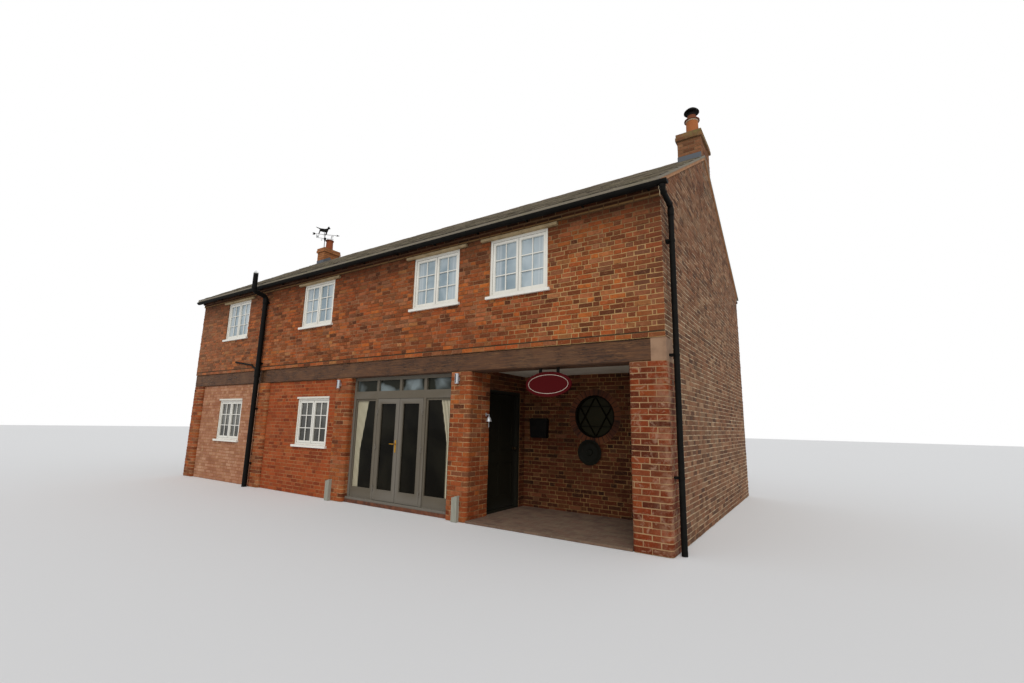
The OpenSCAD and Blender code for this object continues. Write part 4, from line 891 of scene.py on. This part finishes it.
# Roof
def slates(side, name):
    """Diminishing courses of slates, each lifted at its tail and a little out of line, with painted shadow on
    the lower part of each tail's edge.
    """
    b, rng = Build(), random.Random(101 + side)
    out = 0.2
    cosp, sinp = math.cos(PITCH), math.sin(PITCH)
    length = (BACK + out) / cosp
    gauges, t = [], 0.0
    while t < length - 0.25:
        g = 0.2 - 0.07 * t / length
        gauges.append((t, g))
        t += g
    y0, z0 = side * (BACK + out), EAVES_Z - out * SLOPE

    def put(x, up, lift):
        y = y0 - side * up * cosp
        return (x, y + side * lift * sinp, z0 + up * sinp + lift * cosp)

    def leaded(x, y):
        return any(left - 0.138 < x < left + w + 0.138 and STACK_Y - 0.12 < y < STACK_Y + d + 0.12
                   for left, w, d, _ in (STACK_R, STACK_L))
    for k, (t, g) in enumerate(gauges):
        x = -END - VERGE - (0.12 if k % 2 else 0.0)
        while x < END + VERGE:
            w = rng.uniform(0.17, 0.3)
            a, e = max(x, -END - VERGE), min(x + w - 0.004, END + VERGE)
            x += w
            if e - a < 0.05 or leaded((a + e) / 2, y0 - side * (t + g / 2) * cosp):
                continue
            tail = max(t + rng.uniform(-0.006, 0.012), 0.0)
            lift, thick = rng.uniform(0.013, 0.022), rng.uniform(0.009, 0.015)
            head = min(t + g + 0.02, length - 0.02)
            c1, c2 = rng.uniform(0, 0.02), rng.uniform(0, 0.02)
            edge = [(a, head), (a, tail + c1), (a + c1, tail), (e - c2, tail), (e, tail + c2), (e, head)]
            up = [0.002 + (lift - 0.002) * (1 - (q - t) / (g + 0.02)) for _, q in edge]
            rings = [[put(p, q, h) for (p, q), h in zip(edge, up)]]
            for share in (0.55, 1):
                rings.append([put(p, q, max(0.0, h - thick * share)) for (p, q), h in zip(edge, up)])
            n = len(edge)
            faces = [tuple(range(n)) if side > 0 else tuple(range(n))[::-1]]
            faces += [(i + r, i + r + 1, n + i + r + 1, n + i + r) for r in (0, n) for i in range(n - 1)]
            b.add(rings[0] + rings[1] + rings[2], faces, 0.04 + 0.96 * rng.random())
            # Painted shadow: the lower side faces of the tail take tone 0.0, the slates' darkest colour.
            b.t[1 - n:] = [0.0] * (n - 1)
    b.piece(name, slate, "slate")


def ridge():
    """Angled ridge tiles bedded end to end, each a little out of line with the next."""
    b, rng = Build(), random.Random(120)
    half = ((0.15, 0.016), (0.09, 0.018), (0.03, 0.02))
    profile = [(-y, z) for y, z in half] + [(0.0, 0.024)] + list(half[::-1])
    x = -END - VERGE
    while x < END + VERGE - 0.003:
        e = min(x + 0.33, END + VERGE)
        mid = (x + e) / 2
        if not (STACK_L[0] - 0.11 < mid < STACK_L[0] + STACK_L[1] + 0.11 or mid > STACK_R[0] - 0.11):
            dz, dy = rng.uniform(-0.004, 0.003), rng.uniform(-0.004, 0.004)
            ring = [(y + dy, RIDGE_Z - abs(y) * SLOPE + z + dz) for y, z in profile]
            loop = ring + [(y, z - 0.016) for y, z in reversed(ring)]
            b.sweep([(px, y, z) for px in (x, e - 0.006) for y, z in loop], len(loop), rng.random())
        x = e
    b.piece("ridge_tile_run", ridge_clay, "clay", replaces="ridge_tiles", bevel=0.003)


slates(-1, "front_slates")
slates(1, "rear_slates")
ridge()


# Beams
def beam_length(b, x0, x1, seed, inset=0.0):
    """A squared oak length with waney arrises and adze marks, inside the source's box."""
    y0, y1 = FRONT + 0.012 + inset, FRONT + 0.33
    z0, z1 = SOFFIT, BEAM_TOP
    nx, r = max(2, int((x1 - x0) / 0.045)), 0.014
    ring = [(y0, z0 + r + (z1 - z0 - 2 * r) * i / 8) for i in range(9)]
    ring += [(y0 + r * 0.4, z1 - r * 0.4), (y0 + r, z1), (y1, z1), (y1, z0), (y0 + r, z0),
             (y0 + r * 0.4, z0 + r * 0.4)]

    def wave(*at):
        return noise.noise(Vector(at))
    pts = []
    for i in range(nx + 1):
        x = x0 + (x1 - x0) * i / nx
        for y, z in ring:
            d = 0.0
            if y < y1 - 0.05:
                d = 0.004 + 0.004 * wave(x * 1.3, z * 3, seed) + 0.0025 * wave(x * 7, z * 9, seed + 4)
                if z < z0 + 0.03:
                    z += max(0.0, 0.004 + 0.012 * wave(x * 2.1, seed + 9, 0))
                elif z > z1 - 0.03:
                    z -= max(0.0, 0.008 * wave(x * 1.7, seed + 20, 0))
            pts.append((x, y + d, z))
    b.sweep(pts, len(ring))


def beams():
    """The left beam is cut back where it laps behind the right one's end."""
    b = Build()
    beam_length(b, -END, JOINT_X - LAP - 0.0005, 3)
    beam_length(b, JOINT_X - LAP, JOINT_X - 0.001, 4, LAP_IN)
    b.piece("oak_beam_left", beam_wood, "dark_timber", replaces="beam_left")
    b = Build()
    beam_length(b, JOINT_X, BEAM_END, 5)
    b.piece("oak_beam_right", beam_wood, "dark_timber", replaces="beam_right")


beams()


# Windows
def casements():
    """Each casement's middle, sill height, and the depths of its bars and of its sashes' outer face."""
    out = [(x, UPPER_Z, FRONT + 0.033, FRONT + 0.0264) for x in UPPER_X]
    out += [(x, LOWER_Z, FRONT + 0.093, FRONT + 0.0864) for x in LOWER_X]
    return out + [(x, z, BACK - 0.06, BACK - 0.0342) for x in REAR_X for z in (LOWER_Z, UPPER_Z)]


def bars():
    """Glazing bars: each light has two panes across and three up."""
    b = Build()
    w, h, half, thick = GLASS_W, GLASS_H, 0.009, 0.021
    for x, z, y, _ in casements():
        for s in (0, 1):
            left, low = x - SASH_W + RAIL + s * SASH_W, z + 0.088
            mid = left + w / 2
            b.box(mid - half, mid + half, y, y + thick, low, low + h, 0.004)
            for k in (1, 2):
                bar = low + h * k / 3
                b.box(left, left + w, y + 0.001, y + thick, bar - half, bar + half, 0.004)
    b.piece("glazing_bars", white_paint, "white_paint")


def sash_shadow_lines():
    """Thin dark lines of painted shade in the gap round each of a window's two sashes, and where the two
    meet.
    """
    b = Build()
    gap, w, h = 0.004, SASH_W, SASH_H
    for x, z, _, y in casements():
        for s in (0, 1):
            left, low = x - w + s * w, z + 0.0403
            right, top = left + w, low + h
            for x0, x1, z0, z1 in ((left, left + gap, low, top), (right - gap, right, low, top),
                                   (left, right, low, low + gap), (left, right, top - gap, top)):
                b.box(x0, x1, y, y + 0.0014, z0, z1)
    b.piece("sash_shadow_lines", sash_shade_paint, "white_paint")


bars()
sash_shadow_lines()


# Looks of the source's own nodes
LOOKS = (
    (white_paint, "upper_window_frames lower_window_frames rear_window_frames window_sills"),
    (lintel_mat(), "window_lintels"),
    (casement_glass_mat(), "window_glass"),
    (leaf_glass_mat(), "door_glass_left door_glass_right screen_glass"),
    (glass_mat("round_glass", "1a170a", "2c2812", 0.6, 0.3, 0.06).m, "round_window_glass"),
    (paint_mat("olive_paint", "60584b", "4a443a", 0.6, 0.3, 0.2),
     "screen_frame screen_door_left screen_door_right screen_sill"),
    (paint_mat("door_paint", "1c1a12", "100e09", 0.75, 0.05, 0.1), "entrance_frame entrance_door"),
    (paint_mat("maroon_paint", "460e10", "34090a", 0.8, 0.0, 0.04), "sign_board"),
    (black_iron, "vane_stand weather_vane letterbox sign_straps"),
    (metal_mat("silvered_metal", "b9bcc0", 0.5, 0.7), "pier_lights doorbell"),
    (metal_mat("round_bars", "100d07", 0.8, 0.0, 0.0, 0.05, 0.05), "round_window"),
    (metal_mat("dish_metal", "16160f", 0.6, 0.0, 0.1, 0.12, 0.04), "wall_dish"),
    (metal_mat("lacquered_brass", "b98a2e", 0.28, 1.0), "screen_door_handle"),
    (metal_mat("door_bronze", "3a2c18", 0.5, 0.6, 0.0, 0.2), "entrance_handle"),
    (metal_mat("grey_guard", "9c9b8e", 0.6, shine=0.2), "pier_guards"),
    (metal_mat("black_rainware", "0c0b09", 0.68, 0.0, 0.0, 0.1, 0.07), "gutters downpipe"),
    (metal_mat("lead_sheet", "54585e", 0.65, 0.1, dust=0.3), "chimney_flashing"),
    (soil_mat(), "soil_pipe"),
    (clay_mat("pot_clay", ((0.3, "6c3a1e"), (0.5, "854c26"), (0.7, "945c32")), 0.15, pot_places),
     "chimney_pots"),
    (clay_mat("verge_clay", ((0.3, "8c6040"), (0.5, "a07048"), (0.7, "b08258")), 0.25), "verge_courses"),
    (mortar_mat("lime_mortar", "94694a", "6a4428", "70401f", front=True, gable=True), "front_wall"),
    (mortar_mat("back_mortar", "9a7a58", "7a5a3e", gable=True), "rear_wall"),
    (mortar_mat("gable_mortar", *GABLE_MORTAR, "9c7c5e"), "left_gable_wall right_gable_wall"),
    (mortar_mat("pier_mortar", "a8845c", "7c5636", "74472a", end="a08260"), "brick_piers"),
    (mortar_mat("infill_mortar", "9c6c44", "845230", "84481f"), "infill_walls"),
    (mortar_mat("stack_mortar", "75583e", "5a4430", "664a34", gable=True), "chimney_left chimney_right"),
    (mortar_mat("old_mortar", "8a683f", "584026", "5a381a"), "porch_back_wall porch_side_wall"),
    (voussoir_mat(), "round_window_arch"),
    (plaster_mat("ceiling_plaster", "cfc8b8", "a89f8b"), "porch_ceiling"),
    (plaster_mat("pad_mortar", "98785e", "5e4230", 7.0), "beam_pad"),
    (plaster_mat("concrete", "8f887c", "6c665b", 6.0, floor_places), "ground_floor"),
    (paviour_mat(), "porch_floor"),
    (timber_mat("floor_boards", ((0.25, "6b4a2e"), (0.5, "8a6442"), (0.75, "a07c55")), (0.4, 7, 7), 0.4),
     "upper_floor"),
    (slate_mat("under_slate", 0.4), "roof_front roof_rear"))
for look, names in LOOKS:
    for name in names.split():
        slots = nodes[name].data.materials
        slots.clear()
        slots.append(look)


# Fittings
def lamp_slots():
    """The dark slot down the front of each lamp's tube."""
    b = Build()
    for x in LAMP_X:
        b.box(x - 0.007, x + 0.007, FRONT - 0.0905, FRONT - 0.08, 2.188, 2.333)
        b.lathe((x, FRONT - 0.054, 2.343), ((0.03, 0.0005), (0.0, 0.0005)), 24)
    b.piece("lamp_slots", black_iron, "silvered_metal")


def vane_letters():
    """The four quarter letters as bent bars on the ends of the arms, and a scroll under each arm."""
    b = Build()
    x0, y0, z0 = STACK_L[0] + STACK_L[1] / 2, STACK_Y + 0.09, STACK_L[3] + 0.393
    strokes = {"E": ((1, 1), (-1, 1), (-1, 0), (0.6, 0), (-1, 0), (-1, -1), (1, -1)),
               "N": ((-1, -1), (-1, 1), (1, -1), (1, 1)),
               "W": ((-1.1, 1), (-0.55, -1), (0, 0.4), (0.55, -1), (1.1, 1)),
               "S": ((0.9, 0.8), (0, 1), (-0.9, 0.6), (0.9, -0.6), (0, -1), (-0.9, -0.8))}
    for k, letter in enumerate(strokes.values()):
        a = math.radians(49 + 90 * k)

        def on_arm(out, up):
            return (x0 + math.cos(a) * out, y0 + math.sin(a) * out, z0 + up)
        for p, q in zip(letter, letter[1:]):
            b.tube([on_arm(0.245 + u * 0.037, 0.052 + w * 0.052) for u, w in (p, q)], 0.0075, 6)
        curl = []
        for i in range(15):
            t, r = math.radians(-100 + 22 * i), 0.042 * (1 - i / 22)
            curl.append(on_arm(0.085 + r * math.cos(t), -0.052 + r * math.sin(t)))
        b.tube(curl, 0.005, 6)
    b.piece("vane_letters", black_iron, "dark_metal")


def cowl():
    """A shallow lid with a rolled rim on four straps, over a collar on the pot's mouth."""
    b = Build()
    lo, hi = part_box("chimney_cowl")
    (x, y, _), z = (lo + hi) / 2, lo.z
    b.lathe((x, y, z), ((0.075, 0.0), (0.094, 0.0), (0.094, 0.06), (0.075, 0.06), (0.075, 0.0)), 40)
    lid = ((0.0, 0.082), (0.12, 0.086), (0.142, 0.08), (0.15, 0.072), (0.155, 0.076), (0.155, 0.088),
           (0.149, 0.1), (0.13, 0.124), (0.1, 0.15), (0.065, 0.17), (0.03, 0.182), (0.0, 0.1855))
    b.lathe((x, y, z), lid, 48)
    for k in range(4):
        a = math.radians(45 + 90 * k)
        strap = ((0.087, 0.05), (0.09, 0.065), (0.11, 0.086))
        b.tube([(x + math.cos(a) * r, y + math.sin(a) * r, z + h) for r, h in strap], 0.007, 8)
    b.piece("cowl_lid", black_iron, "dark_metal", replaces="chimney_cowl")


lamp_slots()
vane_letters()
cowl()


# Sign
def sign_line():
    """The pale line set in from the oval's edge, on both faces."""
    b = Build()
    lo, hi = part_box("sign_board")
    c = (lo + hi) / 2
    inset, wide, steps = 0.045, 0.0055, 96
    ax, az = (hi.x - lo.x) / 2 - inset, (hi.z - lo.z) / 2 - inset
    for y in (lo.y - 0.0008, hi.y + 0.0008):
        pts = []
        for i in range(steps):
            a = math.tau * i / steps
            pts += [(c.x + (ax - k) * math.cos(a), y, c.z + (az - k) * math.sin(a)) for k in (0.0, wide)]
        n = 2 * steps
        b.add(pts, [(i, i + 1, (i + 3) % n, (i + 2) % n) for i in range(0, n, 2)])
    b.piece("sign_border_line", line_paint, "maroon_paint")


sign_line()


# Stage
def stage():
    """A plain pale floor, an even soft sky that looks white, and a soft key light."""
    mesh = bpy.data.meshes.new("floor")
    half, z = 90, -0.004
    mesh.from_pydata([(-half, -half, z), (half, -half, z), (half, half, z), (-half, half, z)], [],
                     [(0, 1, 2, 3)])
    pale = bpy.data.materials.new("pale_floor")
    pale.use_nodes = True
    shader = pale.node_tree.nodes["Principled BSDF"].inputs
    shader["Base Color"].default_value = (0.72, 0.72, 0.72, 1)
    shader["Roughness"].default_value = 0.9
    mesh.materials.append(pale)
    new_object("floor", mesh)
    world = bpy.data.worlds.new("studio")
    bpy.context.scene.world = world
    world.use_nodes = True
    n, link = world.node_tree.nodes, world.node_tree.links.new
    n.clear()
    path, out = n.new("ShaderNodeLightPath"), n.new("ShaderNodeOutputWorld")
    seen, light = n.new("ShaderNodeBackground"), n.new("ShaderNodeBackground")
    seen.inputs[0].default_value = (1, 1, 1, 1)
    light.inputs[0].default_value = (0.93, 0.96, 1, 1)
    light.inputs[1].default_value = 0.62
    shown, mix = path.outputs["Is Camera Ray"], n.new("ShaderNodeMixShader")
    for ray in ("Is Glossy Ray", "Is Transmission Ray"):
        either = n.new("ShaderNodeMath")
        either.operation = "MAXIMUM"
        link(shown, either.inputs[0])
        link(path.outputs[ray], either.inputs[1])
        shown = either.outputs[0]
    for i, source in enumerate((shown, light.outputs[0], seen.outputs[0])):
        link(source, mix.inputs[i])
    link(mix.outputs[0], out.inputs[0])
    sun = bpy.data.lights.new("soft_key", "SUN")
    sun.energy, sun.angle, sun.color = 1.5, math.radians(40), (1, 0.97, 0.93)
    new_object("soft_key", sun).rotation_euler = (math.radians(48), 0, math.radians(28))


def camera():
    """The photo's own view: its place, aim and roll, and a lens of 466.4 pixels over 1024."""
    place = (8.11, -9.31, 1.52)
    yaw, pitch, roll = (math.radians(a) for a in (33.63, 10.15, 1.23))
    fwd = Vector((-math.sin(yaw) * math.cos(pitch), math.cos(yaw) * math.cos(pitch), math.sin(pitch)))
    right = Vector((math.cos(yaw), math.sin(yaw), 0))
    up = right.cross(fwd)
    cr = right * math.cos(roll) + up * math.sin(roll)
    cu = up * math.cos(roll) - right * math.sin(roll)
    data = bpy.data.cameras.new("camera")
    data.sensor_width, data.lens, data.clip_end = 36, 36 * 466.4 / 1024, 300
    cam = new_object("camera", data)
    cam.matrix_world = Matrix.Translation(place) @ Matrix((cr, cu, -fwd)).transposed().to_4x4()
    bpy.context.scene.camera = cam


stage()
camera()
bpy.context.scene.view_settings.view_transform = "Standard"
